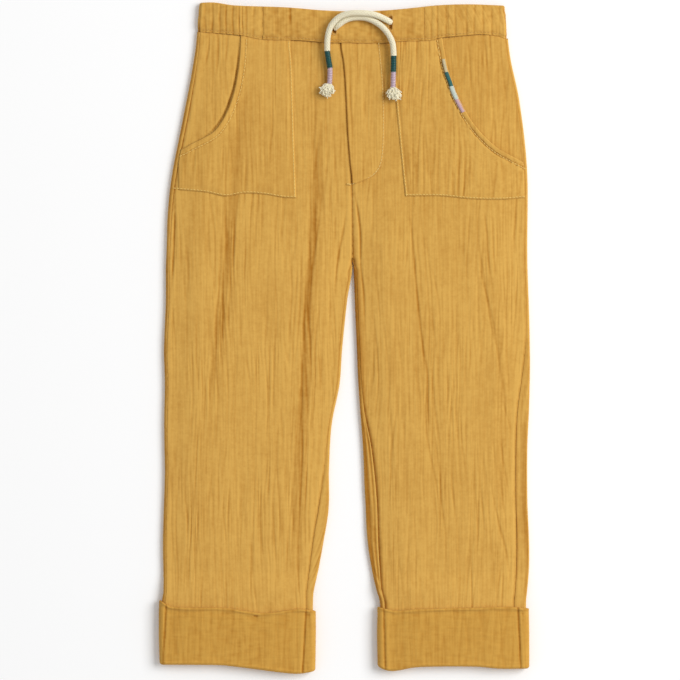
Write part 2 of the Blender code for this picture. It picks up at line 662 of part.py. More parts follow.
def buttonhole(name, slot, cord_side, material):
    """Stitched rim round one slot of the waistband, open where the cord lies across it."""
    half_width, half_height = SLOT_WIDTH / 2 + 0.35, SLOT_HEIGHT / 2 + 0.35
    section = ((0.0, 0.0), (0.15, RIM_HEIGHT), (RIM_WIDTH - 0.15, RIM_HEIGHT), (RIM_WIDTH, 0.0))
    turns = spaced(cord_side + RIM_OPENING / 2, cord_side + 360 - RIM_OPENING / 2, 12)
    points, faces = [], []
    for degrees in turns:
        across, up = math.cos(math.radians(degrees)), math.sin(math.radians(degrees))
        for grow, raised in section:
            x = slot[0] + math.copysign(abs(across) ** 0.6, across) * (half_width + grow)
            y = slot[1] + math.copysign(abs(up) ** 0.6, up) * (half_height + grow)
            points.append((x, y, band_height(x, y) + RIM_GAP + raised))
    for k in range(len(turns) - 1):
        for level in range(4):
            above = (level + 1) % 4
            faces.append((k * 4 + level, k * 4 + above, k * 4 + 4 + above, k * 4 + 4 + level))
    faces.append((3, 2, 1, 0))
    faces.append(tuple(range(len(points) - 4, len(points))))
    return add_solid(name, points, faces, material)


def stitched_bar(bar, material):
    """One colour of the satin-stitched bar, a half-round strip just inside the pocket's mouth."""
    points, faces = [], []
    rows = spaced(bar.top, bar.bottom, 4)
    section = ((-1.0, 0.0), (-0.75, 0.65), (0.0, 1.0), (0.75, 0.65), (1.0, 0.0))
    for row in rows:
        centre = read_curve(LEFT_MOUTH_BY_Y, row) - BAR_WIDTH / 2 - 0.6
        slope = (read_curve(LEFT_MOUTH_BY_Y, row + 1) - read_curve(LEFT_MOUTH_BY_Y, row - 1)) / 2
        turn = math.atan(slope)
        for across, raised in section:
            x = centre + across * BAR_WIDTH / 2 * math.cos(turn)
            y = row - across * BAR_WIDTH / 2 * math.sin(turn)
            z = LEFT.height(x, y) + POCKET_GAP + POCKET_WALL + 0.35
            points.append((x, y, z + raised * BAR_HEIGHT))
    sides = len(section)
    for k in range(len(rows) - 1):
        for i in range(sides):
            j = (i + 1) % sides
            faces.append((k * sides + i, k * sides + j, (k + 1) * sides + j, (k + 1) * sides + i))
    faces.append(tuple(reversed(range(sides))))
    faces.append(tuple(range((len(rows) - 1) * sides, len(rows) * sides)))
    return add_solid(bar.name, points, faces, material)


Fringe = namedtuple("Fringe", "root reach spread lean layer_height")


def tassel(name, fringe, material):
    """Frayed cord end: strands that fan out from one small head, in three layers."""
    across, layers = 6, 3
    head_width, head_height = 1.75, 1.5
    root_x, root_y, root_z = fringe.root

    def on_head(u, v, scale=1.0, back=0.0):
        angle = u * 1.15
        x = root_x + math.sin(angle) * head_width * scale
        y = root_y - 1.6 - math.cos(angle) * 0.9 * scale + back
        return (x, y, root_z + v * head_height * scale)

    points = []
    for j in range(layers + 1):
        points += [on_head(2 * i / across - 1, 2 * j / layers - 1) for i in range(across + 1)]
    faces = []
    for j in range(layers):
        for i in range(across):
            first = j * (across + 1) + i
            corners = [first, first + across + 1, first + across + 2, first + 1]
            centre = [sum(points[c][axis] for c in corners) / 4 for axis in range(3)]
            u, v = (2 * i + 1) / across - 1, (2 * j + 1) / layers - 1
            angle = u * fringe.spread + fringe.lean
            reach = fringe.reach * (1 - 0.16 * ((i * 5 + j * 3) % 4) / 3)
            tip = (centre[0] + math.sin(angle) * reach, centre[1] - math.cos(angle) * reach,
                   root_z + v * fringe.layer_height)
            ring = corners
            for part, size in ((0.0, 0.74), (0.35, 0.8), (0.7, 0.78), (1.0, 0.5)):
                bow = 4 * part * (1 - part) * 0.5 * v
                middle = [c + (t - c) * part for c, t in zip(centre, tip)]
                start = len(points)
                for corner in corners:
                    offset = [points[corner][axis] - centre[axis] for axis in range(3)]
                    points.append((middle[0] + offset[0] * size, middle[1] + offset[1] * size,
                                   middle[2] + offset[2] * size + bow))
                new_ring = list(range(start, start + 4))
                for k in range(4):
                    m = (k + 1) % 4
                    faces.append((ring[k], ring[m], new_ring[m], new_ring[k]))
                ring = new_ring
            faces.append(tuple(ring))
    rim = list(range(across + 1))
    rim += [(j + 1) * (across + 1) - 1 for j in range(1, layers + 1)]
    rim += [layers * (across + 1) + i for i in reversed(range(across))]
    rim += [j * (across + 1) for j in reversed(range(1, layers))]
    start = len(points)
    for index in rim:
        x, y, z = points[index]
        points.append((root_x + (x - root_x) * 0.7, root_y - 0.4, root_z + (z - root_z) * 0.7))
    for k in range(len(rim)):
        m = (k + 1) % len(rim)
        faces.append((rim[k], rim[m], start + m, start + k))
    faces.append(tuple(range(start, start + len(rim))))
    return add_solid(name, points, faces, material)


def build():
    clear_scene()
    cloth = finish("mustard_gauze", MUSTARD)
    elastic_cloth = finish("mustard_elastic", MUSTARD)
    thread = finish("mustard_thread", (0.66, 0.40, 0.12), 0.7)
    cord = finish("cream_cord", CREAM)
    green = finish("green_thread", GREEN, 0.6)
    lilac = finish("lilac_thread", LILAC, 0.6)
    front_leg("front_leg_right", RIGHT, cloth)
    front_leg("front_leg_left", LEFT, cloth)
    back_leg("back_leg_right", RIGHT, cloth)
    back_leg("back_leg_left", LEFT, cloth)
    pocket("pocket_right", RIGHT, RIGHT_MOUTH_BY_Y, RIGHT_POCKET_INNER_BY_Y, RIGHT_POCKET_BOTTOM, cloth)
    pocket("pocket_left", LEFT, LEFT_MOUTH_BY_Y, LEFT_POCKET_INNER_BY_Y, LEFT_POCKET_BOTTOM, cloth)
    mock_fly(cloth)
    waistband_front(cloth)
    waistband_elastic(elastic_cloth)
    buttonhole("buttonhole_right", RIGHT_SLOT, 45, thread)
    buttonhole("buttonhole_left", LEFT_SLOT, 155, thread)
    cuff("cuff_right", RIGHT, RIGHT_CUFF_TOP, RIGHT_CUFF_BOTTOM, cloth)
    cuff("cuff_left", LEFT, LEFT_CUFF_TOP, LEFT_CUFF_BOTTOM, cloth)
    tube("drawstring_right", RIGHT_CORD_ROUTE, CORD_DIAMETER, 3.4, cord)
    tube("drawstring_left", LEFT_CORD_ROUTE, CORD_DIAMETER, 3.4, cord)
    tube("wrap_green_right", RIGHT_GREEN_ROUTE, GREEN_WRAP_DIAMETER, 6, green)
    tube("wrap_lilac_right", RIGHT_LILAC_ROUTE, LILAC_WRAP_DIAMETER, 6, lilac)
    tube("wrap_green_left", LEFT_GREEN_ROUTE, GREEN_WRAP_DIAMETER, 6, green)
    tube("wrap_lilac_left", LEFT_LILAC_ROUTE, LILAC_WRAP_DIAMETER, 6, lilac)
    tassel("tassel_right", Fringe((33.3, 172.6, 9.6), 6.4, 1.25, 0.1, 1.7), cord)
    tassel("tassel_left", Fringe((-10.3, 175.1, 8.4), 8.2, 0.62, -0.18, 1.7), cord)
    for bar in BARS:
        stitched_bar(bar, finish(bar.name, bar.colour, 0.6))


build()
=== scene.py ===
"""Baby trousers of mustard double gauze, laid flat with the front up.

Tables and shapes are in millimetres, meshes in metres. +X is the wearer's left, +Y runs up to the
waist, and +Z is up off the surface.
"""
import math

import bmesh
import bpy
import numpy as np
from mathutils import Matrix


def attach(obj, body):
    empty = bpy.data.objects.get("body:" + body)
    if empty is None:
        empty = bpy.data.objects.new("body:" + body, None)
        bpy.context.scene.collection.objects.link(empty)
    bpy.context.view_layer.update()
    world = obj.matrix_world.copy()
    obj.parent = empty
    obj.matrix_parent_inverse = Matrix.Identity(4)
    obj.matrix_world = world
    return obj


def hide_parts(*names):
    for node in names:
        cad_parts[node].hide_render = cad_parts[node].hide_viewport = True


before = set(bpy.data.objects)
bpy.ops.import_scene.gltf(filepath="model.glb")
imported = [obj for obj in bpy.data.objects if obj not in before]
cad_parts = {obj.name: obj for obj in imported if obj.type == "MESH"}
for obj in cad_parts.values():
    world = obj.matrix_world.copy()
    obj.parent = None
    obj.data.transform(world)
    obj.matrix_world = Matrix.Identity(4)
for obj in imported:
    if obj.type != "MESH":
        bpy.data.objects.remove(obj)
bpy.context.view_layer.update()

# ---------------------------------------------------------------------------------------------
# Front legs
# Two panels of crinkled cotton double gauze, two loose plies tacked together every few
# millimetres. They are cut on the straight grain, sewn to each other down the centre front and to
# the back panels at the side seams and inseams.

MM = 0.001
SEAM_GAP = 0.04
FRONT_WALL = 2.2
FRONT_ROWS, FRONT_PLACES = 330, 229
EDGE_RADIUS = 2.1  # of the roll round a leg's edges
RISE_WIDTH = 24.0  # over which the front rises from its edges
CUFF_OUTSET = 1.9  # of the cuff's face from the leg's
CUFF_TURN = 1.85  # radius of the fold at the hem
CROTCH_Y = 52.4
WAIST_Y = 206.0
LEG_END_Y = -225.5
CUFF_LIFTS_FROM = -160.0
HEM_BENDS_FROM, WAIST_BENDS_FROM = -190.0, 160.0
NARROWEST_BROAD_FOLD = 3.0
DEEPEST_CREASE = 1.6

# Down each leg: its rolled edges across the body, and how far in from them its seams lie
LEG_COLUMNS = ("y", "outer", "inner", "outer_seam", "inner_seam")
RIGHT_OUTLINE = (
    (212, -101.0, 0.0, 2.1, 2.1),
    (192, -103.2, 0.0, 2.4, 2.1),
    (151, -111.4, 0.0, 3.0, 2.1),
    (102, -120.4, 0.0, 2.8, 2.1),
    (52, -123.1, 5.5, 2.4, 2.1),
    (26, -123.2, 1.9, 2.3, 2.1),
    (-8, -124.5, -1.6, 2.2, 2.1),
    (-32, -123.9, -3.4, 2.2, 2.1),
    (-60, -124.4, -8.8, 2.2, 2.2),
    (-90, -123.9, -10.6, 2.2, 3.2),
    (-117, -124.6, -10.8, 2.2, 7.2),
    (-140, -125.2, -14.2, 2.2, 7.6),
    (-160, -124.9, -17.9, 2.2, 6.4),
    (-174, -124.8, -21.0, 2.2, 5.0),
    (-182, -125.8, -21.6, 2.2, 4.6),
    (-204, -126.05, -21.6, 2.2, 4.6),
    (-231, -125.2, -22.0, 2.2, 4.6),
)
LEFT_OUTLINE = (
    (212, 112.0, 0.0, 2.1, 2.1),
    (192, 114.6, 0.0, 2.1, 2.1),
    (164, 120.6, 0.0, 2.1, 2.1),
    (116, 125.9, 0.0, 2.1, 2.1),
    (52, 126.1, 5.8, 2.1, 2.1),
    (19, 127.3, 7.3, 2.2, 2.1),
    (-8, 127.9, 8.5, 3.4, 2.1),
    (-28, 127.9, 9.3, 5.8, 2.2),
    (-50, 127.3, 10.8, 8.2, 2.8),
    (-76, 126.2, 12.7, 8.3, 5.8),
    (-112, 126.2, 14.2, 8.3, 8.0),
    (-140, 127.3, 15.9, 8.8, 7.2),
    (-160, 127.2, 18.9, 9.0, 5.4),
    (-174, 126.0, 22.0, 8.6, 3.4),
    (-182, 125.2, 24.3, 8.6, 3.2),
    (-204, 125.4, 24.3, 8.6, 3.2),
    (-231, 125.4, 24.8, 8.6, 3.2),
)
WAIST_SEAM = (
    (-103, 211.1), (-72, 208.4), (-57, 205.6), (-31, 204.9), (-13, 203.5), (0, 203.2), (28, 203.2),
    (38, 204.2), (59, 204.9), (66, 206.7), (80, 208.0), (94, 209.1), (105, 208.0), (112, 205.6),
)
CENTRE_FRONT_BY_Y = (
    (52, 5.6), (106, 5.2), (126, 3.8), (144, 2.4), (168, 1.4), (192, -0.3), (203, -2.1),
)
CROWN_BY_Y = (
    (-228, 0.8), (-170, 1.0), (-120, 1.5), (0, 1.8), (100, 1.8), (150, 1.6), (190, 1.0), (206, 0.6),
)
RIGHT_HEM = (
    (-127, -225.0), (-86, -225.2), (-75, -226.3), (-58, -228.4), (-42, -230.5), (-31, -231.15),
    (-20, -229.4),
)
LEFT_HEM = (
    (23, -226.6), (30, -229.1), (36, -229.1), (47, -227.0), (58, -226.3), (91, -226.3),
    (107, -227.7), (127, -227.7),
)

# Folds, one a line: depth, half width, and the x,y places that the trough runs through from its top down
RIGHT_FOLDS = """
0.36 4.2 -65,197 -70,165 -74.5,135 -77.6,100 -81,60 -85,20 -90,-20 -95,-70
0.19 0.79 -80,106 -81.6,85 -80.7,60 -80.9,40 -83,15 -86,-20
0.15 0.72 -85,58 -86.8,24 -88.5,-2 -89.6,-30 -93,-60
0.14 0.72 -74,94 -75.6,73 -78,50 -79,20
0.56 4.4 -20,178 -20.5,140 -20,108 -23,60 -26.5,26 -28,-20 -31,-70 -33,-188
0.31 0.79 -15,112 -17,86 -22.1,50 -24.2,20 -23.6,-5 -23.2,-25 -27,-60
0.26 0.72 -25,60 -26.6,34 -28.1,5 -29,-19 -30,-52 -33,-84
0.21 0.72 -31.6,66 -32.6,44 -35,5 -36,-20 -37,-52
0.26 0.79 -29,-40 -29.3,-80 -30.4,-110 -32.1,-150 -31,-188
0.18 0.72 -31,-48 -34,-80 -35,-120 -38,-165
0.17 0.72 -24,-30 -26,-80 -27,-135 -25.6,-186
0.4 0.8 1.6,92 -0.5,76 -4.2,56 -6,40 -7,20
0.16 0.79 -21,186 -20.4,149 -22.4,118
0.14 0.72 -13.5,170 -12.1,128 -14,92
0.14 0.72 -28,178 -29,140 -27,104
0.17 0.7 -81.8,94 -82.1,77 -81.1,46
0.17 0.8 -85.9,58 -86.6,33 -88.7,12 -90,-12
0.16 0.8 -92.8,26 -94.5,-18 -96.3,-43 -97,-80
0.17 0.7 -75.6,94 -75.9,68 -77.3,42
0.28 0.7 -23.8,97 -24.5,77 -23.8,50 -25.5,25 -23.8,-2 -23.8,-30
0.24 0.7 -20.4,95 -20.4,68 -21,42
0.22 0.8 -27.9,78 -30,46 -30.7,19 -34.2,-19 -34.8,-44
0.17 0.8 -37.6,60 -36.2,30 -39.3,-10
0.2 0.7 -16.9,26 -20.4,-10 -19.7,-44
0.9 0.8 -117,108 -117.2,84 -117.6,62 -119.4,30
0.95 0.7 -72.6,205 -73.5,190 -74.7,181 -76.5,172 -79,164 -82,156 -86,149 -92,142 -98,138 -106,134
0.13 0.72 -46,30 -49,-30 -47,-90
0.11 0.72 -60,-20 -62,-90 -59,-150
0.11 0.72 -106,70 -108,10 -109,-60
0.29 0.72 -92.8,212 -93.5,200 -95.6,188
0.32 0.72 -86.9,212 -86.9,198 -88,180
0.21 0.65 -97.5,212 -98,202 -100,190
0.18 0.65 -80.5,212 -81,200 -82,188
"""
LEFT_FOLDS = """
0.14 4.4 41.7,110 46.9,68 50.5,24 55.5,-36 62,-75 66.8,-114 70,-181
0.2 0.72 41.7,99 46.9,68 50.4,24 53.8,-5 57.3,-26 59,-62
0.16 0.72 55.5,85 57.3,59 59.9,33 60.7,12 65,-19
0.14 0.72 59,-50 64.2,-82 66.8,-114 69.3,-133 70,-165
0.16 4.2 92,100 93.5,50 99,24 105.6,-8 109,-60 107,-110 113,-181
0.17 0.72 96.1,92 97.8,75 99.5,62
0.18 0.72 92.6,68 93.5,50 96.9,33 102.1,12 105.6,-8 110.7,-26
0.16 0.72 108,-40 111.5,-52 115,-66
0.16 0.72 107,-66 110.7,-93 114.2,-112
0.17 0.72 103,-98 105.6,-126 110.7,-146 115.9,-176
0.5 0.8 7,98 10.7,76 11.2,50 13.3,30 14,0
0.45 0.75 5,106 8.4,92 10.4,78 10.9,62 11,46
0.12 0.72 47,-110 49,-140 49,-176
0.09 0.72 84,60 86,0 90,-50
0.09 0.72 30,40 31,-40 36,-110
0.09 0.72 76,30 78,-60 84,-150
0.14 0.72 46.5,152 47,125 47.3,96
0.14 0.72 88,138 89,118 91,100
0.23 0.79 85.2,208 86.3,190 87.2,168
0.12 0.72 93.5,208 94.4,196 96,182
0.14 0.86 100.4,208 101.1,171 105.2,128
0.12 0.65 77,208 77.6,198 79,184
0.12 0.65 107,208 108.4,190 112,160
0.18 0.7 45.5,95 46.6,68 48.6,45 52.1,12 55.2,-19 57.3,-48
0.15 0.7 52.1,90 55.2,59 57.3,33 59.7,6
0.14 0.7 49.3,75 52.1,45 53.8,14
0.14 0.7 59.7,52 64.2,28 66.6,0
0.16 0.7 94.2,95 97.6,76 98.7,57 102.1,33 103.8,14
0.18 0.7 90,90 92.8,62 96.9,37 100.4,12 105.6,-12 110.7,-45
0.16 0.7 100,-92 103.8,-117 110.7,-143 115.9,-168
0.14 0.7 55.5,-46 57.3,-70 63.1,-101 66.6,-130
"""


def ease(distance, width):
    """0 up to distance 0, 1 from distance width on, and smooth between."""
    part = np.clip(np.asarray(distance, dtype=float) / width, 0, 1)
    return part * part * (3 - 2 * part)


def hump(distance, width):
    """1 at distance 0, and falling smoothly to nearly nothing at twice the width."""
    return np.exp(-((distance / width) ** 2))


def bend(start, end, slope_in, slope_out, t):
    """Place at part t of a smooth curve from start to end, which has those slopes at its ends."""
    ends = start * (1 + 2 * t) * (1 - t) ** 2 + end * t * t * (3 - 2 * t)
    return ends + slope_in * t * (1 - t) ** 2 - slope_out * t * t * (1 - t)


def along(points, place):
    """Value at each place on a smooth curve through (place, value) points, flat past its ends."""
    knots, values = np.array(points, dtype=float).T
    place = np.clip(np.asarray(place, dtype=float), knots[0], knots[-1])
    k = np.clip(np.searchsorted(knots, place) - 1, 0, len(knots) - 2)
    before, after = np.maximum(k - 1, 0), np.minimum(k + 2, len(knots) - 1)
    slope_in = (values[k + 1] - values[before]) / (knots[k + 1] - knots[before])
    slope_out = (values[after] - values[k]) / (knots[after] - knots[k])
    span = knots[k + 1] - knots[k]
    return bend(values[k], values[k + 1], slope_in * span, slope_out * span, (place - knots[k]) / span)


def waves(u, v, seed):
    """Smooth random waves from about -1 to 1, each about one unit long in u and in v."""
    u, v = np.broadcast_arrays(np.asarray(u, dtype=float), np.asarray(v, dtype=float))
    angles = np.random.default_rng(seed).uniform(0, 2 * np.pi, (256, 256))
    i, j = np.floor(u).astype(int), np.floor(v).astype(int)
    f, g = u - i, v - j

    def corner(right, up):
        angle = angles[(i + right) % 256, (j + up) % 256]
        return np.cos(angle) * (f - right) + np.sin(angle) * (g - up)

    s, t = f ** 3 * (f * (f * 6 - 15) + 10), g ** 3 * (g * (g * 6 - 15) + 10)
    low = corner(0, 0) * (1 - s) + corner(1, 0) * s
    high = corner(0, 1) * (1 - s) + corner(1, 1) * s
    return 1.5 * (low * (1 - t) + high * t)


def read_folds(table):
    """Depth, half width, and the places from the lowest up, of the fold on each line."""
    folds = []
    for fold in table.strip().splitlines():
        deep, width, *places = fold.split()
        line = np.array([place.split(",") for place in places[::-1]], dtype=float)
        folds.append((float(deep), float(width), line))
    return folds


def fold_depth(folds, x, y):
    """How deep the listed troughs are at each place."""
    depth = np.zeros(np.broadcast(x, y).shape)
    for deep, width, line in folds:
        low, high = line[0, 1], line[-1, 1]
        across = x - along(line[:, ::-1], y)
        reach = (high - low) * 0.3
        taper = ease(high - y, reach) * ease(y - low, reach)
        if width < NARROWEST_BROAD_FOLD:
            shape = hump(across, width) * (0.85 + 0.3 * waves(y / 16, low * 0.37, 7))
        else:
            shape = np.exp((0.5 - np.sqrt(across ** 2 + 0.25)) / width)
        depth = depth + deep * taper * shape
    return depth


def crinkle(x, y, seed, strength=1.0):
    """Relief of the gauze: long soft ridges parted by narrow creases that wander down the cloth."""
    drift = 1.8 * waves(x / 38, y / 90, seed + 1) + 0.25 * waves(x / 8, y / 15, seed + 6)
    drift = drift + 1.5 * waves(x / 9, y / 80, seed + 10)
    creases = 1 - ease(np.abs(waves((x + drift) / 3.4, y / 60, seed)), 0.40)
    creases = creases * np.clip(0.62 + 1.1 * waves(x / 5, y / 45, seed + 11), 0, 1.5)
    ridges = waves((x + drift) / 1.35, y / 22, seed + 2)
    ridges = ridges * np.clip(0.7 + waves(x / 10, y / 50, seed + 12), 0.1, 1.5)
    tacks = waves(x / 3.6, y / 1.7, seed + 3)
    swell = waves(x / 15, y / 95, seed + 4)
    lively = np.clip(0.8 + 0.8 * waves(x / 19, y / 90, seed + 5), 0.25, 1.5)
    return strength * (lively * (0.09 * ridges - 0.18 * creases) + 0.055 * tacks) + 0.17 * swell


class LegForm:
    """Where one leg's edges and seams run, and how high its smoothed front lies."""

    def __init__(self, side, outline, hem, folds):
        rows = np.array(outline[::-1], dtype=float)
        self.side, self.hem, self.folds = side, hem, read_folds(folds)
        self.curves = {name: rows[:, [0, k]] for k, name in enumerate(LEG_COLUMNS)}

    def own(self, right, left):
        """This leg's one of two values."""
        return right if self.side < 0 else left

    def outer(self, y):
        return along(self.curves["outer"], y)

    def seam(self, name, y):
        return np.maximum(along(self.curves[name], y), EDGE_RADIUS)

    def inner(self, y):
        """The edge towards the other leg: the centre line above the crotch."""
        centre = along(CENTRE_FRONT_BY_Y, y) + self.side * SEAM_GAP / 2
        return centre + ease(CROTCH_Y + 4 - y, 8) * (along(self.curves["inner"], y) - centre)

    def lift(self, y):
        """How far the cuff's back wall lifts the leg off the surface."""
        return CUFF_OUTSET * ease(CUFF_LIFTS_FROM - y, 17)

    def from_outer(self, x, y):
        """Distance in from the outer edge's roll."""
        return (self.outer(y) - x) * self.side - EDGE_RADIUS

    def from_inner(self, x, y):
        """Distance in from the inner edge's roll."""
        return (x - self.inner(y)) * self.side - EDGE_RADIUS

    def height(self, x, y):
        """Face of the smoothed front above the surface."""
        beside_gap = ease(105 - y, 53) * (1 - ease(self.from_inner(x, y), RISE_WIDTH))
        dome = ease(self.from_outer(x, y), RISE_WIDTH) * (1 - beside_gap)
        pinch = 0.35 * (1 - ease(along(WAIST_SEAM, x) - y, 5))
        return self.lift(y) + 2 * EDGE_RADIUS + along(CROWN_BY_Y, y) * dome - pinch * dome

    def troughs(self, x, y):
        """Depth of the folds, faded out towards the outer edge."""
        return fold_depth(self.folds, x, y) * ease(self.from_outer(x, y), 3)

    def valleys(self, x, y):
        """Depth of the broad folds alone, shifted 1.8 mm towards +X: the cloth is most crumpled there, and
        painted shade is laid in them.
        """
        broad = [fold for fold in self.folds if fold[1] > NARROWEST_BROAD_FOLD]
        return fold_depth(broad, x - 1.8, y)

    def curl(self, y):
        """Degrees that the back rolls up round the inner edge: none above the crotch."""
        return 180 * (1 - np.clip((y - CROTCH_Y + 6) / 12, 0, 1))

    def front_edges(self, y):
        """Where the front panel ends across the body, at its outer and at its inner seam."""
        outer = self.outer(y) - self.side * (self.seam("outer_seam", y) + SEAM_GAP)
        turned = 1 - np.sin(np.radians(np.maximum(self.curl(y), 90)))
        return outer, self.inner(y) + self.side * (self.seam("inner_seam", y) + SEAM_GAP) * turned

    def place_down(self, x, y, waist):
        """A row's height, bent to the waist seam at the top and to the hem's fold at the bottom."""
        up = ease(y - WAIST_BENDS_FROM, WAIST_Y - WAIST_BENDS_FROM)
        down = ease(HEM_BENDS_FROM - y, HEM_BENDS_FROM - LEG_END_Y)
        leg_end = along(self.hem, x) + 2 * CUFF_TURN + 0.1
        return y + (waist - SEAM_GAP - WAIST_Y) * up + (leg_end - LEG_END_Y) * down


RIGHT = LegForm(-1, RIGHT_OUTLINE, RIGHT_HEM, RIGHT_FOLDS)
LEFT = LegForm(1, LEFT_OUTLINE, LEFT_HEM, LEFT_FOLDS)


def spots(*columns):
    """Points of a grid from their x, their y and, where given, their z."""
    return np.stack(np.broadcast_arrays(*columns), axis=-1)


def quads(ids):
    """The four-cornered faces of a grid of point numbers."""
    corners = [ids[:-1, :-1], ids[:-1, 1:], ids[1:, 1:], ids[1:, :-1]]
    return np.stack(corners, axis=-1).reshape(-1, 4).tolist()


def lay_out(name, data):
    """An object in the scene from a mesh, a curve, a light or a camera."""
    thing = bpy.data.objects.new(name, data)
    bpy.context.scene.collection.objects.link(thing)
    return thing


def add_mesh(name, points, faces, material, cloth, hollow):
    """A smooth mesh piece from points in millimetres, with its cloth coordinates and its painted shade at
    each point.
    """
    mesh = bpy.data.meshes.new(name)
    mesh.from_pydata((np.asarray(points, dtype=float) * MM).tolist(), [], faces)
    layer = mesh.uv_layers.new(name="cloth")
    corner = np.empty(len(mesh.loops), dtype=int)
    mesh.loops.foreach_get("vertex_index", corner)
    layer.data.foreach_set("uv", (np.asarray(cloth)[corner] * MM).ravel())
    mesh.attributes.new("hollow", "FLOAT", "POINT").data.foreach_set("value", np.ravel(hollow))
    shape = bmesh.new()
    shape.from_mesh(mesh)
    bmesh.ops.recalc_face_normals(shape, faces=shape.faces[:])
    shape.to_mesh(mesh)
    shape.free()
    mesh.materials.append(material)
    mesh.shade_smooth()
    return lay_out(name, mesh)


def crease_shade(relief):
    """Painted shade, 0 on ridges to 1 in creases: how far a place lies below those near and farther beside
    it.
    """
    shade = np.full(relief.shape, 0.22)
    for reach, range_of_depth in ((4, 0.6), (16, 1.5)):
        padded = np.pad(relief, ((0, 0), (reach, reach)), mode="edge")
        total = np.cumsum(np.pad(padded, ((0, 0), (1, 0))), axis=1)
        mean = (total[:, 2 * reach + 1:] - total[:, :-2 * reach - 1]) / (2 * reach + 1)
        shade += (mean - relief) / range_of_depth
    return np.clip(shade, 0, 1)


def cloth_shell(name, face, lining, relief, tone, cloth=None):
    """A closed thin gauze shell: the face's fine grid, and a coarser grid for the unseen side."""
    coarse = 3
    rows, places = face.shape[:2]
    back = lining[::coarse, ::coarse]
    if cloth is None:
        cloth = face[:, :, :2]
    points = np.concatenate([face.reshape(-1, 3), back.reshape(-1, 3)])
    flat = np.concatenate([cloth.reshape(-1, 2), cloth[::coarse, ::coarse].reshape(-1, 2)])
    unseen = back.shape[0] * back.shape[1]
    # Painted shade: from the creases plus the added shade on the face, and deep on the unseen side, so the
    # walls round the edges are painted darker too
    hollow = np.concatenate([np.clip(crease_shade(relief) + tone, 0, 1).ravel(), np.full(unseen, 0.9)])
    front = np.arange(rows * places).reshape(rows, places)
    rear = rows * places + np.arange(unseen).reshape(back.shape[:2])
    faces = quads(front) + [quad[::-1] for quad in quads(rear)]
    borders = [(grid[0], grid[-1], grid[:, 0], grid[:, -1]) for grid in (front, rear)]
    for fine, wide in zip(*borders):
        for k in range(len(wide) - 1):
            run = fine[k * coarse:(k + 1) * coarse + 1].tolist()
            faces.append(run + [int(wide[k + 1]), int(wide[k])])
    return add_mesh(name, points, faces, gauze_cloth, flat, hollow)


def cut_of(x, y, z, fullness=1.0):
    """Flat size and area in metres of the cloth in a smoothed grid in millimetres."""
    grid = spots(x, y, z)
    across, down = np.diff(grid, axis=1), np.diff(grid, axis=0)
    width = np.linalg.norm(across, axis=2).sum(axis=1).max() * MM
    length = np.linalg.norm(down, axis=2).sum(axis=0).max() * MM
    cells = np.linalg.norm(np.cross(across[:-1], down[:, :-1]), axis=2)
    area = min(cells.sum() * MM * MM, width * length)
    return {"flat": (width * fullness, length), "area": area * fullness}


def sew_on(piece, slot="gauze", **cut):
    """Puts a cloth piece on the body in its solid's place and hides the solid; the slot and the cut it is
    given are not used.
    """
    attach(piece, "root")
    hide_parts(piece.name.replace("cloth_", ""))


def feed(node, inputs):
    """Gives each named input of a node its value, or links it to the node or socket given."""
    for socket, value in inputs.items():
        if isinstance(value, bpy.types.Node):
            value = value.outputs[0]
        if isinstance(value, bpy.types.NodeSocket):
            node.id_data.links.new(value, node.inputs[socket])
        else:
            node.inputs[socket].default_value = value
    return node


def adder(tree):
    """A function that adds a node to the tree, with its inputs and its settings."""
    def add(kind, inputs=None, **settings):
        node = tree.nodes.new(kind)
        for key, value in settings.items():
            setattr(node, key, value)
        return feed(node, inputs or {})
    return add


def new_finish(name, inputs):
    """A material with its shader's inputs set, and a function that adds nodes to it."""
    material = bpy.data.materials.new(name)
    material.use_nodes = True
    shader = feed(material.node_tree.nodes["Principled BSDF"], inputs)
    return material, shader, adder(material.node_tree)


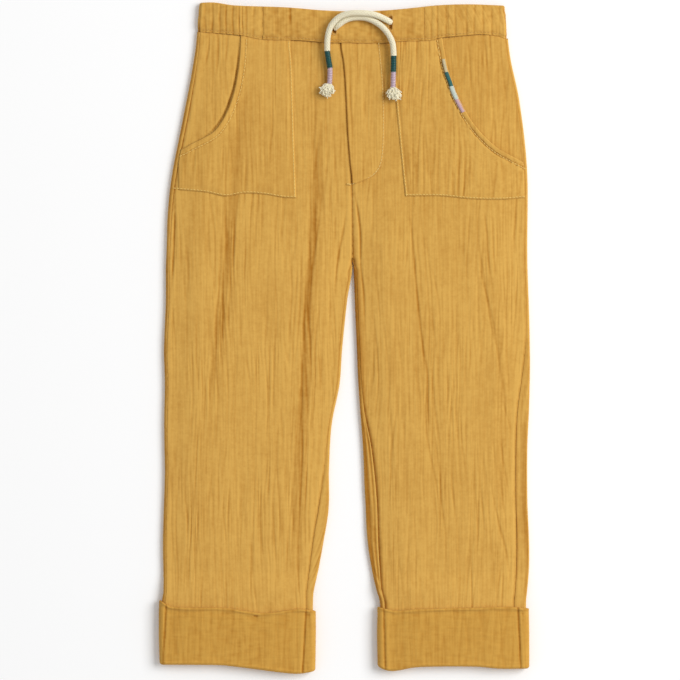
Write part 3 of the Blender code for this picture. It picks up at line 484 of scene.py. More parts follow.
def gauze(name, colour=(0.670, 0.380, 0.082), shade=(0.38, 0.145, 0.010), cross=0.02):
    """Mustard double gauze: plain weave, slubs, tack rows, painted shade in the creases, and nap."""
    material, shader, add = new_finish(name, {
        "Roughness": 0.92, "Specular IOR Level": 0.15,
        "Sheen Weight": 0.12, "Sheen Roughness": 0.6, "Sheen Tint": (1.0, 0.82, 0.52, 1.0),
    })
    cloth = add("ShaderNodeUVMap", uv_map="cloth")
    hollow = add("ShaderNodeAttribute", attribute_name="hollow")

    def wave(direction, scale, distortion, detail_scale):
        inputs = {"Vector": cloth, "Scale": scale, "Distortion": distortion, "Detail Scale": detail_scale}
        return add("ShaderNodeTexWave", inputs, bands_direction=direction)

    def noise(across, down, detail=2.0):
        stretch = add("ShaderNodeMapping", {"Vector": cloth, "Scale": (across, down, 1.0)})
        return add("ShaderNodeTexNoise", {"Vector": stretch, "Scale": 1.0, "Detail": detail})

    def spread(source, low, high, start=0.0, end=1.0):
        ends = {"From Min": start, "From Max": end, "To Min": low, "To Max": high}
        return add("ShaderNodeMapRange", {"Value": source.outputs["Fac"], **ends})

    def total(*sources):
        first, *rest = sources
        for source in rest:
            first = add("ShaderNodeMath", {0: first, 1: source})
        return first

    warp, weft = wave("X", 290.0, 1.4, 0.35), wave("Y", 300.0, 1.4, 0.35)
    tacks = wave("Y", 70.0, 2.2, 0.6)
    slubs, clouds, patches = noise(620.0, 620.0), noise(26.0, 26.0), noise(170.0, 170.0)
    streaks, rows = noise(640.0, 28.0, 3.0), noise(70.0, 640.0)
    # Random mottling of the colour, plus the painted shade of each point, mixed towards the shade colour
    mottle_and_shade = total(
        spread(clouds, -0.10, 0.10, 0.25, 0.75), spread(patches, -0.10, 0.10, 0.25, 0.75),
        spread(slubs, -0.07, 0.07, 0.25, 0.75), spread(streaks, -0.17, 0.17, 0.25, 0.75),
        spread(rows, -cross, cross), spread(hollow, -0.04, 0.86),
    )
    relief = total(
        spread(warp, 0.0, 0.035), spread(weft, 0.0, 0.035), spread(slubs, 0.0, 0.08),
        spread(streaks, 0.0, 0.18), spread(tacks, 0.0, 0.06), spread(rows, 0.0, 2 * cross),
    )
    tint = add("ShaderNodeMix", {0: mottle_and_shade, 6: (*colour, 1.0), 7: (*shade, 1.0)}, data_type="RGBA")
    ridges = add("ShaderNodeBump", {"Strength": 0.8, "Distance": 0.001, "Height": relief})
    feed(shader, {"Base Color": tint.outputs[2], "Normal": ridges})
    return material


gauze_cloth = gauze("mustard_gauze")


def spaced_rows(low, high, count):
    return np.linspace(high, low, count + 1)[:, None]


def seam_dip(distance, y, seed, depth):
    """Pinch of the cloth into a seam, with the small puckers that the thread draws up."""
    pucker = np.maximum(1 + 0.6 * waves(distance * 0.1, y / 2.7, seed), 0.3)
    return depth * pucker * hump(distance, 1.3)


def band_dip(x, y, seed, depth):
    """The pinch along the seam under the waistband."""
    return seam_dip(along(WAIST_SEAM, x) - SEAM_GAP - y, x, seed, depth)


def front_panel(name, leg, seed):
    rows = spaced_rows(LEG_END_Y, WAIST_Y, FRONT_ROWS)
    start, end = leg.front_edges(rows)
    x = start + (end - start) * np.linspace(0, 1, FRONT_PLACES)
    y = leg.place_down(x, rows, along(WAIST_SEAM, x))
    calm = leg.height(x, y)
    from_outer, from_inner = np.abs(x - start), np.abs(x - end)
    edge = np.minimum(from_outer, from_inner)
    valleys = leg.valleys(x, y)
    relief = crinkle(x, y, seed) * (1 + 1.5 * valleys) - leg.troughs(x, y)
    relief = np.maximum(relief, -DEEPEST_CREASE) * (0.25 + 0.75 * ease(edge, 3))
    outer_dip = 0.12 + leg.own(0.8, 0.4) * ease(leg.seam("outer_seam", y) - 2.0, 1.2)
    inner_dip = 0.12 + leg.own(0.4, 0.9) * ease(leg.seam("inner_seam", y) - 2.0, 1.2)
    centre_dip = 0.25 + 0.35 * ease(y - 20, 30) * ease(125 - y, 40)
    turned = leg.curl(y)
    rolled_in = EDGE_RADIUS * (1 + np.cos(np.radians(turned))) * ease(turned - 45, 45)
    relief -= seam_dip(from_outer, y, seed + 7, outer_dip) + rolled_in * hump(from_inner, 1.6)
    relief -= seam_dip(from_inner, y, seed + 8, np.where(y > CROTCH_Y - 10, centre_dip, inner_dip))
    relief -= band_dip(x, y, seed + 9, 0.3)
    # Painted shade: deeper in the broad folds, a little deeper towards the waist, and along the centre front
    # beside the fly's edge on the right leg and by the crotch on the left leg
    tone = 0.7 * valleys + leg.own(0.05, 0.12) * ease(y - 60, 60) + leg.own(
        0.9 * hump(from_inner, 1.1) * ease(y - 95, 15), 0.65 * hump(from_inner, 3.0) * ease(84 - y, 36),
    )
    lining = spots(x, y, calm - FRONT_WALL + 0.9 * ease(2 - edge, 2))
    piece = cloth_shell(name, spots(x, y, calm + relief), lining, relief, tone)
    sew_on(piece, held="laid", rests_on=["back_leg_right", "back_leg_left"], **cut_of(x, y, calm))


front_panel("cloth_front_leg_right", RIGHT, 11)
front_panel("cloth_front_leg_left", LEFT, 47)

# ---------------------------------------------------------------------------------------------
# Back legs
# The back panels of the same gauze, flat under the front. They roll up round both edges of each
# leg to the side seams and inseams, which lie a little way in on the front.

BACK_WALL = 1.5
BACK_ROWS = 216
STRIP_STEPS, ROLL_STEPS, FLOOR_STEPS = 6, 9, 84
BACK_SEAM_ENDS = (-98.6, 109.6)


def back_waist_seam(x):
    """The seam under the band, straight across the back."""
    right, left = BACK_SEAM_ENDS
    part = np.clip((x - right) / (left - right), 0, 1)
    return along(WAIST_SEAM, right) + (along(WAIST_SEAM, left) - along(WAIST_SEAM, right)) * part


def rolled_edge(edge, side, floor, radius, inset, degrees, count):
    """x and z of a wall that curls up from the surface round one edge, from the bottom on."""
    degrees = np.maximum(degrees, 0.5)
    swept = radius / np.sin(np.radians(np.minimum(degrees, 90)))
    angle = np.radians(degrees) * np.linspace(0, 1, count + 1)
    x = edge - side * radius + side * (swept - inset) * np.sin(angle)
    return np.stack(np.broadcast_arrays(x, floor + swept - (swept - inset) * np.cos(angle)))


def between(start, end, count):
    """x and z at even steps after the start, up to and with the end."""
    return start + (end - start) * np.linspace(0, 1, count + 1)[1:]


def run_along(x, z):
    """Length of cloth along each row, from its first place on."""
    steps = np.hypot(np.diff(x, axis=1), np.diff(z, axis=1))
    return np.concatenate([np.zeros((len(x), 1)), np.cumsum(steps, axis=1)], axis=1)


def back_section(leg, y, inset):
    """x and z of each row of a back panel: outer seam, outer roll, floor, inner roll and seam."""
    outer, inner, floor, turn = leg.outer(y), leg.inner(y), leg.lift(y), np.radians(leg.curl(y))
    outer_roll = rolled_edge(outer, leg.side, floor, EDGE_RADIUS, inset, 180, ROLL_STEPS)[:, :, ::-1]
    inner_roll = rolled_edge(inner, -leg.side, floor, EDGE_RADIUS, inset, leg.curl(y), ROLL_STEPS)
    seams = (
        outer - leg.side * (leg.seam("outer_seam", y) + SEAM_GAP / 2),
        inner + leg.side * (leg.seam("inner_seam", y) + SEAM_GAP / 2),
    )
    start, seam_end = [np.stack([x, leg.height(x, y) - inset]) for x in seams]
    last = inner_roll[:, :, -1:]
    open_end = last + SEAM_GAP / 2 * np.stack([-leg.side * np.cos(turn), np.sin(turn)])
    closed = ease(CROTCH_Y - 5.9 - y, 0.2)
    return np.concatenate([
        start, between(start, outer_roll[:, :, :1], STRIP_STEPS), outer_roll[:, :, 1:],
        between(outer_roll[:, :, -1:], inner_roll[:, :, :1], FLOOR_STEPS), inner_roll[:, :, 1:],
        between(last, open_end * (1 - closed) + seam_end * closed, STRIP_STEPS),
    ], axis=2)


def back_panel(name, leg, seed):
    rows = spaced_rows(LEG_END_Y, WAIST_Y, BACK_ROWS)
    x, z = back_section(leg, rows, 0.0)
    run = run_along(x, z)
    to_end = run[:, -1:] - run
    low = z < leg.lift(rows) + EDGE_RADIUS
    y = leg.place_down(x, rows, np.where(low, back_waist_seam(x), along(WAIST_SEAM, x)))
    relief = crinkle(run + 300, y, seed) * (0.25 + 0.75 * ease(np.minimum(run, to_end), 3))
    relief -= seam_dip(run, y, seed + 7, 0.3) + seam_dip(to_end, y, seed + 8, 0.3)
    rise = (z - leg.lift(rows)) / (2 * EDGE_RADIUS)
    outward = np.where(leg.from_outer(x, rows) < 0, leg.side, 0)
    outward = outward - np.where(leg.from_inner(x, rows) < 0, leg.side, 0)
    # What shows of the back beside the front's seam faces half away from the light, and is given painted
    # shade on the side away from the light; the left leg's inner strip has two creases of its own, and
    # painted shade near the crotch
    from_seam, wide = leg.own(run, to_end), leg.seam(leg.own("outer_seam", "inner_seam"), rows)
    near_edge = ease(wide + 5 - from_seam, 4)
    relief = relief - 0.14 * wide * ease(from_seam, wide) * ease(rise - 0.5, 0.5)
    tone = leg.own(0.3, 0.5) * ease(from_seam, wide) * near_edge * ease(rise - 0.3, 0.5)
    if leg.side > 0:
        for place, deep in ((0.28, 0.7), (0.72, 0.5)):
            relief -= deep * ease(wide - 3, 3) * hump(from_seam - place * wide, 0.6)
        by_crotch = ease(CROTCH_Y + 2 - rows, 12) * ease(rows + 50, 40)
        tone = tone + 0.7 * ease(wide + 5 - from_seam, 2) * by_crotch
    shallow = 0.15 + 0.85 * ease(rise, 0.8)
    turn = np.pi * np.clip(rise, 0, 1)
    move = relief * shallow
    face = spots(x + move * np.sin(turn) * outward, y, np.maximum(z - move * np.cos(turn), 0.0))
    inner_x, inner_z = back_section(leg, rows, BACK_WALL)
    piece = cloth_shell(name, face, spots(inner_x, y, inner_z), move, tone, spots(run, y))
    sew_on(piece, held="laid", **cut_of(x, y, z))


back_panel("cloth_back_leg_right", RIGHT, 83)
back_panel("cloth_back_leg_left", LEFT, 129)

# ---------------------------------------------------------------------------------------------
# Mock fly
# A facing behind the left front's edge makes a fly with no opening. Its folded edge stands over
# the centre front, and a curved line of topstitching in pale thread holds its other side down.

FLY_BEND = 126.0  # below this height the stitched edge curves in to the centre
FLY_EDGE_BY_Y = (
    (106.0, 6.6), (107.6, 11.4), (111.1, 19.0), (115.9, 23.8), (120.8, 25.9), (126.3, 26.9), (136.6, 27.6),
    (160.8, 27.6), (181.5, 26.6), (203, 24.5),
)


def edge_round(distance, radius):
    """How far a wall's face falls away within a radius of its edge."""
    part = 1 - np.clip(distance / radius, 0, 1)
    return radius * (1 - np.sqrt(np.clip(1 - part * part, 0, 1)))


rows = np.concatenate([np.linspace(WAIST_Y, FLY_BEND, 49), np.linspace(FLY_BEND, 106.4, 25)[1:]])[:, None]
start, end = LEFT.inner(rows) - 0.5 * ease(rows - 110, 10), along(FLY_EDGE_BY_Y, rows)
x = start + (end - start) * np.linspace(0, 1, 49)
y = LEFT.place_down(x, rows, along(WAIST_SEAM, x))
calm = LEFT.height(x, y) - LEFT.troughs(x, y)
from_fold, from_stitch = np.abs(x - start), np.abs(end - x)
relief = crinkle(x, y, 61) - band_dip(x, y, 64, 0.35)
relief -= 0.22 * hump(from_stitch - 1.0, 0.8) * (1 + 0.5 * waves(x / 3, y / 2.6, 63))
level = 1.0 - 0.45 * ease(from_fold, 16) - edge_round(from_fold, 0.8) - edge_round(from_stitch, 0.5)
face_z = calm + level + relief * ease(from_stitch, 2) * (0.4 + 0.6 * ease(from_fold, 2))
# Painted shade along the folded edge, and a little all over
tone = 0.8 * hump(from_fold, 0.55) + 0.05
fly = cloth_shell("cloth_mock_fly", spots(x, y, face_z), spots(x, y, calm + 0.05), relief, tone)
sew_on(fly, held="laid", rests_on=["front_leg_left"], **cut_of(x, y, calm))


def thread_finish(name, colour, roughness=0.55, gloss=0.5, sheen=0.05, hollows=None):
    """Twisted thread or cord: fine fibres, a soft shine and, where given, a painted shade colour between its
    strands.
    """
    material, shader, add = new_finish(name, {
        "Roughness": roughness, "Sheen Weight": sheen, "Specular IOR Level": gloss,
    })
    place = add("ShaderNodeTexCoord").outputs["Object"]
    fibres = add("ShaderNodeTexNoise", {"Vector": place, "Scale": 2600.0, "Detail": 3.0})
    tint = add("ShaderNodeValToRGB", {"Fac": fibres})
    dark, light = tint.color_ramp.elements
    dark.position, dark.color = 0.3, (*[0.72 * c for c in colour], 1.0)
    light.position, light.color = 0.7, (*[min(1.12 * c, 0.95) for c in colour], 1.0)
    if hollows:
        deep = add("ShaderNodeAttribute", attribute_name="hollow").outputs["Fac"]
        tint = add("ShaderNodeMix", {0: deep, 6: tint, 7: (*hollows, 1.0)}, data_type="RGBA").outputs[2]
    ridges = add("ShaderNodeBump", {"Strength": 0.5, "Distance": 0.0001, "Height": fibres})
    feed(shader, {"Base Color": tint, "Normal": ridges})
    return material


def new_tree(name, *numbers):
    """A geometry tree with named number inputs and a thread, its adder, and what it is given."""
    tree = bpy.data.node_groups.new(name, "GeometryNodeTree")
    for socket, kind in [("Geometry", "Geometry"), *[(n, "Float") for n in numbers], ("Thread", "Material")]:
        tree.interface.new_socket(socket, in_out="INPUT", socket_type="NodeSocket" + kind)
    tree.interface.new_socket("Geometry", in_out="OUTPUT", socket_type="NodeSocketGeometry")
    add = adder(tree)
    return tree, add, add("NodeGroupInput").outputs


def set_along(add, given, spacing, shape, slant, **size):
    """Copies of a shape at even spacing along the given path, each turned a little from it."""
    path = {"Curve": given["Geometry"], "Length": given[spacing]}
    stops = add("GeometryNodeCurveToPoints", path, mode="LENGTH")
    ways = {"Rotation": stops.outputs["Rotation"], "Rotate By": add("ShaderNodeCombineXYZ", slant)}
    turn = add("FunctionNodeRotateRotation", ways, rotation_space="LOCAL")
    return add("GeometryNodeInstanceOnPoints", {"Points": stops, "Instance": shape, "Rotation": turn, **size})


def finish_tree(add, given, shape):
    """The end of each tree: one plain smooth mesh of the given thread."""
    plain = add("GeometryNodeRealizeInstances", {"Geometry": shape})
    smooth = add("GeometryNodeSetShadeSmooth", {"Geometry": plain})
    finish = add("GeometryNodeSetMaterial", {"Geometry": smooth, "Material": given["Thread"]})
    add("NodeGroupOutput", {"Geometry": finish})


def stitch_tree():
    """Small thread loops set at even spacing along a path, each with its three sizes."""
    tree, add, given = new_tree("Stitch run", "Spacing", "Across", "Along", "Height", "Slant")
    loop = add("GeometryNodeMeshUVSphere", {"Segments": 6, "Rings": 5, "Radius": 0.5})
    size = add("ShaderNodeCombineXYZ", {"X": given["Across"], "Y": given["Height"], "Z": given["Along"]})
    finish_tree(add, given, set_along(add, given, "Spacing", loop, {"Y": given["Slant"]}, Scale=size))
    return tree


def grow(name, source, tree, values, thread, node=None):
    """A plain mesh piece from a source object and a geometry tree with its named values."""
    values = {**values, "Thread": thread}
    modifier = source.modifiers.new(tree.name, "NODES")
    modifier.node_group = tree
    for item in tree.interface.items_tree:
        if item.in_out == "INPUT" and item.name in values:
            modifier[item.identifier] = values[item.name]
    evaluated = source.evaluated_get(bpy.context.evaluated_depsgraph_get())
    mesh = bpy.data.meshes.new_from_object(evaluated)
    source.modifiers.remove(modifier)
    bpy.data.objects.remove(source, do_unlink=True)
    mesh.name = name
    if not mesh.materials:
        mesh.materials.append(thread)
    piece = lay_out(name, mesh)
    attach(piece, "root")
    if node:
        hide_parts(node)
    return piece


def path_curve(name, paths):
    """A curve object of one or more open lines of points in millimetres."""
    curve = bpy.data.curves.new(name, "CURVE")
    curve.dimensions, curve.twist_mode = "3D", "Z_UP"
    for path in paths:
        spline = curve.splines.new("POLY")
        spline.points.add(len(path) - 1)
        for point, place in zip(spline.points, path):
            point.co = (*[float(v) * MM for v in place], 1.0)
    return lay_out(name, curve)


stitches = stitch_tree()
gauze_thread = thread_finish("gauze_thread", (0.92, 0.59, 0.17), 0.7, 0.2)
pale_thread = thread_finish("pale_thread", (0.95, 0.68, 0.27), 0.8, 0.1)
matching_thread = thread_finish("matching_thread", (0.66, 0.375, 0.085))


def stitch(
    name, paths, thread, spacing, length, width, height=0.22, slant=0.06, node=None,
):
    """Stitches along one or more paths, with their sizes in millimetres."""
    values = {
        "Spacing": spacing * MM, "Along": length * MM, "Across": width * MM, "Height": height * MM,
        "Slant": slant,
    }
    return grow(name, path_curve(name + "_path", paths), stitches, values, thread, node)


def on_front(leg, x, y, above):
    """Points laid on a leg's front, above its folds."""
    return spots(x, y, leg.height(x, y) - leg.troughs(x, y) + above)


line_y = np.concatenate([np.linspace(202.6, FLY_BEND, 40), np.linspace(125, 106.2, 28)])
line = on_front(LEFT, along(FLY_EDGE_BY_Y, line_y) - 1.0, line_y, 0.47)
stitch("stitching_mock_fly", [line], pale_thread, 2.2, 2.1, 0.38)
tack = [(4.4 - 0.6 * k, 105.6 + 0.12 * k, LEFT.height(6.0, 105.0) + 0.9) for k in range(5)]
stitch("tack_mock_fly", [tack], gauze_thread, 0.45, 0.4, 1.5)

# ---------------------------------------------------------------------------------------------
# Patch pockets
# Two patches of gauze on the front legs, sewn down at the sides and the bottom. Each is cut away
# in a curve at the hip for the hand, and that edge is turned under and topstitched.

RIGHT_MOUTH_BY_Y = (
    (129, -114.5), (131, -110.1), (134, -104.5), (138, -96.3), (142, -90.0), (149, -84.5), (156, -80.7),
    (164, -77.6), (172.5, -75.2), (181.5, -73.5), (190, -72.3), (207, -71.4),
)
LEFT_MOUTH_BY_Y = (
    (120, 125.5), (125, 115.6), (130.4, 105.9), (138.7, 96.3), (147.7, 88.7), (156, 83.5), (163.5, 79.4),
    (170.4, 76.2), (176.6, 74.2), (183, 71.8), (192, 69.7), (206, 67.3),
)
RIGHT_POCKET_INNER_BY_Y = ((97, -33.1), (130, -34.2), (164, -35.2), (192, -36.2), (202, -37.3))
LEFT_POCKET_INNER_BY_Y = ((97, 41.7), (130, 38.3), (161, 35.5), (192, 32.8), (203, 32.0))
RIGHT_POCKET_BOTTOM = (
    (-116, 102.1), (-95, 100.1), (-82, 97.6), (-69, 99.4), (-57, 99.0), (-42, 96.6), (-33, 96.3),
)
LEFT_POCKET_BOTTOM = ((42, 97.6), (66, 97.6), (87, 95.6), (107, 95.2), (126, 96.6))
POCKET_LOWEST = 97.0
POCKET_ROWS, POCKET_PLACES = 93, 121


def line_distance(x, y, line):
    """Distance from each place to the nearest point of a finely drawn line."""
    return np.sqrt(np.min([(x - line_x) ** 2 + (y - line_y) ** 2 for line_x, line_y in line], axis=0))


def mouth_gape(leg, y):
    """How far a pocket's mouth stands open, most where the hand goes in."""
    return leg.own(0.55, 0.8) * (1 + 0.5 * hump(y - 158, 14)) * ease(202 - y, 40)


def pocket_piece(name, leg, mouth, inner_edge, bottom, stitch_in, pucker, seed):
    rows = spaced_rows(POCKET_LOWEST, WAIST_Y, POCKET_ROWS)
    side_seam = leg.front_edges(rows)[0] - leg.side * SEAM_GAP
    start = leg.side * np.minimum(along(mouth, rows) * leg.side, side_seam * leg.side)
    end = along(inner_edge, rows)
    x = start + (end - start) * np.linspace(0, 1, POCKET_PLACES)
    dropped = (along(bottom, x) - POCKET_LOWEST) * ease(125 - rows, 125 - POCKET_LOWEST)
    y = leg.place_down(x, rows, along(WAIST_SEAM, x)) + dropped
    mouth_y = np.linspace(mouth[0][0], 205, 90)
    mouth_line = spots(along(mouth, mouth_y), mouth_y)
    from_mouth = line_distance(x, y, mouth_line)
    sewn = np.minimum(np.abs(x - end), y - along(bottom, x))
    edge = np.minimum(np.abs(x - start), sewn)
    calm = leg.height(x, y) - leg.troughs(x, y)
    relief = crinkle(x, y, seed, leg.own(0.75, 1.4)) * (0.35 + 0.65 * ease(edge, 2.5))
    puckers = pucker * (1.5 - 2.4 * np.abs(waves(x / 3.2, y / 3.2, seed + 6)))
    relief -= puckers * hump(from_mouth - stitch_in, 1.0) + band_dip(x, y, seed + 9, 0.4)
    relief += 0.12 * hump(sewn - 0.9, 0.6) - 0.12 * hump(sewn - 2.4, 0.8)
    gape = mouth_gape(leg, y) * hump(from_mouth, 5.0)
    held = (0.4 + 0.6 * ease(np.abs(x - side_seam), 5)) * (0.55 + 0.45 * ease(sewn, 5))
    level = (1.05 + gape + 0.12 * (1 - ease(from_mouth, stitch_in))) * held - edge_round(edge, 0.7)
    under = calm + (0.35 + 0.6 * gape) * held
    face = spots(x, y, np.maximum(calm + level + relief, under + 0.08))
    # Painted shade in the broad folds, and a little all over
    piece = cloth_shell(name, face, spots(x, y, under), relief, 0.7 * leg.valleys(x, y) + 0.06)
    sew_on(piece, held="laid", rests_on=["front_leg_" + leg.own("right", "left")], **cut_of(x, y, calm))
    slope = np.gradient(*mouth_line.T)
    away = spots(1.0, -slope) / np.sqrt(1 + slope ** 2)[:, None]
    mouth_stitch = mouth_line - leg.side * away * stitch_in
    inner_y = np.linspace(203, 98.6, 80)
    bottom_x = np.linspace(end[-1, 0] + leg.side * 1.2, side_seam[-1, 0] - leg.side, 70)
    stitch(name.replace("cloth_", "stitching_"), [
        on_front(leg, *mouth_stitch.T, leg.own(1.06, 0.96) + 0.55 * mouth_gape(leg, mouth_stitch[:, 1])),
        on_front(leg, along(inner_edge, inner_y) + leg.side * 1.1, inner_y, leg.own(0.78, 0.84)),
        on_front(leg, bottom_x, along(bottom, bottom_x) + 1.1, 0.82),
    ], gauze_thread, 2.3, 2.1, 0.56)


right_edges = (RIGHT_MOUTH_BY_Y, RIGHT_POCKET_INNER_BY_Y, RIGHT_POCKET_BOTTOM)
left_edges = (LEFT_MOUTH_BY_Y, LEFT_POCKET_INNER_BY_Y, LEFT_POCKET_BOTTOM)
pocket_piece("cloth_pocket_right", RIGHT, *right_edges, 4.0, 0.2, 151)
pocket_piece("cloth_pocket_left", LEFT, *left_edges, 3.6, 0.6, 173)

# ---------------------------------------------------------------------------------------------
# Satin-stitched bar
# Four short runs of close satin stitch in cream, green, mint and lilac thread, worked through the
# left pocket just inside its mouth.

# Name, top and bottom of each run, its width and its colour
BAR_RUNS = (
    ("bar_cream", 191.8, 183.1, 2.7, (0.68, 0.58, 0.35)),
    ("bar_green", 182.7, 173.4, 3.2, (0.035, 0.16, 0.15)),
    ("bar_mint", 173.0, 164.4, 3.7, (0.64, 0.71, 0.63)),
    ("bar_lilac", 164.0, 155.6, 3.7, (0.66, 0.46, 0.50)),
)
for node, top, bottom, width, colour in BAR_RUNS:
    bar_y = np.linspace(top, bottom, 12)
    slope = along(LEFT_MOUTH_BY_Y, bar_y + 1) - along(LEFT_MOUTH_BY_Y, bar_y - 1)
    bar = on_front(LEFT, along(LEFT_MOUTH_BY_Y, bar_y) - 1.7 / np.cos(np.arctan(slope / 2)), bar_y, 1.95)
    thread = thread_finish(node + "_thread", colour)
    stitch("thread_" + node, [bar], thread, 0.36, 0.5, width, 1.3, 0.12, node=node)

# ---------------------------------------------------------------------------------------------
# Waistband
# A folded band of gauze with an elastic inside. The short front part between two upright joins is
# plain, and the rest is drawn into small gathers all the way round the back.

BAND_WALL = 2.2
BAND_EDGE_RADIUS = 2.5
BAND_FRONT_FROM = -56.2
BAND_FRONT_TO = 54.9
WAIST_TOP = (
    (-100, 230.9), (-90, 231.15), (-76, 229.1), (-40, 227.7), (-14, 225.6), (8, 224.9), (28, 225.6),
    (48, 227.4), (64, 229.1), (85, 229.8), (109, 229.1),
)
BAND_RIGHT_EDGE_BY_Y = ((205, -101.2), (212, -101.0), (231, -99.2))
BAND_LEFT_EDGE_BY_Y = ((205, 112.2), (212, 112.0), (229, 109.6))
# Gathers that show on the front: place, half width and depth
GATHERS = (
    (-96.0, 1.6, 0.5), (-90.9, 1.5, 0.8), (-85.9, 1.6, 0.9), (-81.3, 1.4, 0.6), (-76.9, 1.5, 0.8),
    (-72.6, 0.9, 1.0), (-70.2, 0.8, 0.9), (-67.8, 1.3, 0.5), (-62.4, 1.8, 0.5), (59.7, 1.7, 0.5),
    (63.9, 1.4, 0.8), (70.0, 1.8, 0.8), (71.2, 0.8, 0.5), (76.2, 1.7, 0.7), (83.8, 1.9, 0.8),
    (89.6, 1.6, 0.6), (95.6, 1.8, 0.7), (101.6, 1.7, 0.6), (106.6, 1.4, 0.5),
)
# Creases in the front part: x, y, depth and half length
BAND_CREASES = ((-37.6, 221, 0.28, 4.5), (-33, 214, 0.15, 6), (18, 212, 0.15, 7), (47, 214, 0.2, 7))
SLOTS = ((-7.0, 214.2), (31.6, 217.0))
SLOT_HALF_WIDTH, SLOT_HALF_LENGTH = 1.3, 4.7
RIGHT_ROLL_FROM, LEFT_ROLL_FROM = -97.0, 107.0
BAND_ROLL_STEPS, BAND_BACK_STEPS = 12, 240


def band_height(x, y):
    seam, top = along(WAIST_SEAM, x), along(WAIST_TOP, x)
    part = np.clip((y - seam) / (top - seam), 0, 1)
    inside = np.minimum(x - along(BAND_RIGHT_EDGE_BY_Y, y), along(BAND_LEFT_EDGE_BY_Y, y) - x)
    swell = (1.2 + 0.5 * np.sin(np.pi * part)) * ease(inside - BAND_EDGE_RADIUS, RISE_WIDTH)
    return 2 * BAND_EDGE_RADIUS + swell


def band_part(count):
    """Heights across the band, from its top at 1 to its seam at 0, closer near both."""
    even = np.linspace(0, 1, count + 1)
    return (1 - (even - np.sin(2 * np.pi * even) / (2 * np.pi) * 0.85))[:, None]


def band_edges(part, high, top_radius):
    """How far the band's face falls away at its folded top and at its seam."""
    return edge_round((1 - part) * high, top_radius) + edge_round(part * high, 0.5)


part = band_part(45)
x = np.linspace(BAND_FRONT_FROM + SEAM_GAP / 2, BAND_FRONT_TO - SEAM_GAP / 2, 202) + 0 * part
seam, top = along(WAIST_SEAM, x), along(WAIST_TOP, x)
y = seam + (top - seam) * part
calm = band_height(x, y)
from_join = np.minimum(x - x.min(), x.max() - x)
relief = crinkle(x, y, 211, 0.72) + 0.13 * waves(x / 5, y / 3.6, 213) + 0.23 * waves(x / 6, y / 1.8, 218)
relief -= 0.7 * (1 - ease(y - seam, 4.5)) + 0.24 * hump(y - seam - 1.5, 0.7)
relief = relief * (0.4 + 0.6 * ease(from_join, 2)) - seam_dip(from_join, y, 213, 0.3)
for crease_x, crease_y, deep, reach in BAND_CREASES:
    relief -= deep * hump(x - crease_x, 1.1) * hump(y - crease_y, reach)
slot_floor = np.zeros_like(x)
for slot_x, slot_y in SLOTS:
    away = np.maximum(np.abs(x - slot_x) / SLOT_HALF_WIDTH, np.abs(y - slot_y) / SLOT_HALF_LENGTH)
    slot_floor = np.maximum(slot_floor, 1 - ease(away - 0.7, 0.35))
edges = band_edges(part, top - seam, 1.1)
under = calm - BAND_WALL + 0.4 * edges
face_z = np.maximum(calm + relief * ease((1 - part) * 22, 1.5) - edges - 2.0 * slot_floor, under + 0.1)
# Painted shade: deeper in the slots, and a little all over
band_front = cloth_shell(
    "cloth_waistband_front", spots(x, y, face_z), spots(x, y, under), relief - 1.5 * slot_floor, 0.16,
)
sew_on(band_front, held="laid", rests_on=["waistband_elastic"], **cut_of(x, y, calm))


def elastic_section(part, inset):
    """x and z of the elastic part: front right, right roll, back, left roll and front left."""
    y = along(WAIST_SEAM, 0.0) + (along(WAIST_TOP, 0.0) - along(WAIST_SEAM, 0.0)) * part
    right, left = along(BAND_RIGHT_EDGE_BY_Y, y), along(BAND_LEFT_EDGE_BY_Y, y)
    right_roll = rolled_edge(right, -1, 0, BAND_EDGE_RADIUS, inset, 180, BAND_ROLL_STEPS)[:, :, ::-1]
    left_roll = rolled_edge(left, 1, 0, BAND_EDGE_RADIUS, inset, 180, BAND_ROLL_STEPS)

    def front(start, end, count):
        x = start + (end - start) * np.linspace(0, 1, count + 1)
        seam, top = along(WAIST_SEAM, x), along(WAIST_TOP, x)
        return np.stack([x, band_height(x, seam + (top - seam) * part) - inset])

    return np.concatenate([
        front(BAND_FRONT_FROM - SEAM_GAP / 2, right + BAND_EDGE_RADIUS, 108), right_roll[:, :, 1:],
        between(right_roll[:, :, -1:], left_roll[:, :, :1], BAND_BACK_STEPS), left_roll[:, :, 1:],
        front(left - BAND_EDGE_RADIUS, BAND_FRONT_TO + SEAM_GAP / 2, 132)[:, :, 1:],
    ], axis=2)


part = band_part(30)
x, z = elastic_section(part, 0.0)
inner_x, inner_z = elastic_section(part, BAND_WALL - 0.3)
seam = np.where(z < BAND_EDGE_RADIUS, back_waist_seam(x), along(WAIST_SEAM, x))
top = along(WAIST_TOP, x)
y = seam + (top - seam) * part
run = run_along(x, z)
pleats = sum(
    deep * hump(x - place - 0.5 * waves(y / 9, place, 3), 0.5 * width) for place, width, deep in GATHERS
)
pleats = 0.60 * pleats * (0.75 + 0.5 * waves(x / 5, y / 9, 233))
around = 0.75 * (1 - np.clip(np.abs(waves(run / 4.2, y / 40, 223)) / 0.5, 0, 1))
relief = crinkle(run + 500, y, 227, 0.7)
relief -= np.where(z > 2 * BAND_EDGE_RADIUS - 0.3, pleats, around) * (1 - 0.25 * part)
relief += 0.15 * waves(x / 5, y / 3.6, 235) + 0.21 * waves(x / 6, y / 1.8, 237)
relief -= np.where(z > BAND_EDGE_RADIUS, 0.7 * (1 - ease(y - seam, 4.5)), 0)
relief -= 0.24 * hump(y - seam - 1.5, 0.7) + seam_dip(np.minimum(run, run[:, -1:] - run), y, 229, 0.3)
rise = np.clip(z / (2 * BAND_EDGE_RADIUS), 0, 1)
edges = band_edges(part, top - seam, 1.0)
